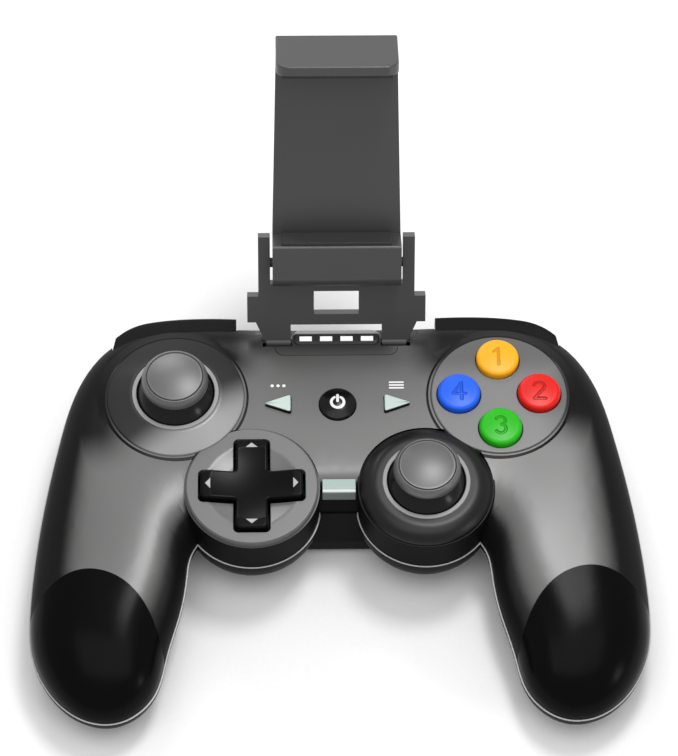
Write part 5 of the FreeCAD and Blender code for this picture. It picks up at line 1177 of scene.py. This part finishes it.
def floor_finish():
    """Matt white paper with a hardly visible tooth, seen as pure white further out."""
    made = bpy.data.materials.new("floor_paper")
    made.use_nodes = True
    tree = made.node_tree
    shader = tree.nodes["Principled BSDF"]
    place = add(tree, "ShaderNodeTexCoord").outputs["Object"]
    tooth = add(tree, "ShaderNodeTexNoise", Vector=place, Scale=900.0, Detail=2.0)
    tree.links.new(blend_colour(tree, tooth.outputs["Fac"], grey(0.90), grey(0.94)),
                   shader.inputs["Base Color"])
    shader.inputs["Roughness"].default_value = 0.9
    shader.inputs["Specular IOR Level"].default_value = 0.0
    away = add(tree, "ShaderNodeVectorMath", {"operation": "LENGTH"}, i0=place)
    rays = add(tree, "ShaderNodeLightPath").outputs
    mirrored = maths(tree, "MAXIMUM", rays["Is Glossy Ray"], rays["Is Transmission Ray"])
    seen = maths(tree, "MAXIMUM", rays["Is Camera Ray"], mirrored)
    far = step_between(tree, away.outputs["Value"], *FLOOR_FAR)
    tree.links.new(maths(tree, "MULTIPLY", seen, far), shader.inputs["Emission Strength"])
    shader.inputs["Emission Color"].default_value = WHITE
    return made


floor_mesh = bpy.data.meshes.new("floor")
floor_mesh.from_pydata([(-FLOOR_HALF, -FLOOR_HALF, 0), (FLOOR_HALF, -FLOOR_HALF, 0),
                        (FLOOR_HALF, FLOOR_HALF, 0), (-FLOOR_HALF, FLOOR_HALF, 0)], [], [(0, 1, 2, 3)])
floor_mesh.materials.append(floor_finish())
floor = bpy.data.objects.new("floor", floor_mesh)
bpy.context.scene.collection.objects.link(floor)

world = bpy.data.worlds.new("studio")
bpy.context.scene.world = world
world.use_nodes = True
world.node_tree.nodes["Background"].inputs["Color"].default_value = WHITE
world.node_tree.nodes["Background"].inputs["Strength"].default_value = WORLD_LEVEL


def lamp(name, place, aim, size, power):
    """A soft rectangular lamp at a place, turned to a point; size is across and up, in metres."""
    data = bpy.data.lights.new(name, "AREA")
    data.shape = "RECTANGLE"
    data.size, data.size_y = size
    data.energy = power
    made = bpy.data.objects.new(name, data)
    bpy.context.scene.collection.objects.link(made)
    made.location = place
    made.rotation_euler = (Vector(aim) - Vector(place)).to_track_quat("-Z", "Y").to_euler()


lamp("overhead", (0.0, -0.16, 0.55), (0.0, -0.05, 0.0), (0.60, 0.36), 1.0)
lamp("key", (0.095, 0.165, 0.58), (0.0, -0.05, 0.0), (0.14, 0.14), 1.35)
lamp("back_left", (-0.12, 0.47, 0.40), (0.0, -0.02, 0.02), (0.24, 0.10), 0.80)
lamp("low_right", (0.60, -0.34, 0.24), (0.0, -0.03, 0.02), (0.10, 0.16), 0.35)

VIEW_AZIMUTH = math.radians(-2.0)
VIEW_ELEVATION = math.radians(58.0)
VIEW_ROLL = math.radians(1.3)
VIEW_DISTANCE = 0.900
VIEW_TARGET = Vector((0.00048, 0.00023, 0.0264))
FOCAL_PIXELS = 3503.0
PHOTO_HEIGHT = 756
SENSOR = 36.0

back = Vector((math.sin(VIEW_AZIMUTH) * math.cos(VIEW_ELEVATION),
               -math.cos(VIEW_AZIMUTH) * math.cos(VIEW_ELEVATION), math.sin(VIEW_ELEVATION)))
level = (-back).cross(Vector((0, 0, 1))).normalized()
upward = level.cross(-back)
across = level * math.cos(VIEW_ROLL) + upward * math.sin(VIEW_ROLL)
over = upward * math.cos(VIEW_ROLL) - level * math.sin(VIEW_ROLL)
eye = VIEW_TARGET + back * VIEW_DISTANCE
camera_data = bpy.data.cameras.new("photo_view")
camera_data.sensor_fit = "VERTICAL"
camera_data.sensor_height = SENSOR
camera_data.lens = FOCAL_PIXELS * SENSOR / PHOTO_HEIGHT
camera = bpy.data.objects.new("photo_view", camera_data)
bpy.context.scene.collection.objects.link(camera)
camera.matrix_world = Matrix.Translation(eye) @ Matrix((across, over, back)).transposed().to_4x4()
bpy.context.scene.camera = camera
bpy.context.scene.view_settings.view_transform = "Standard"
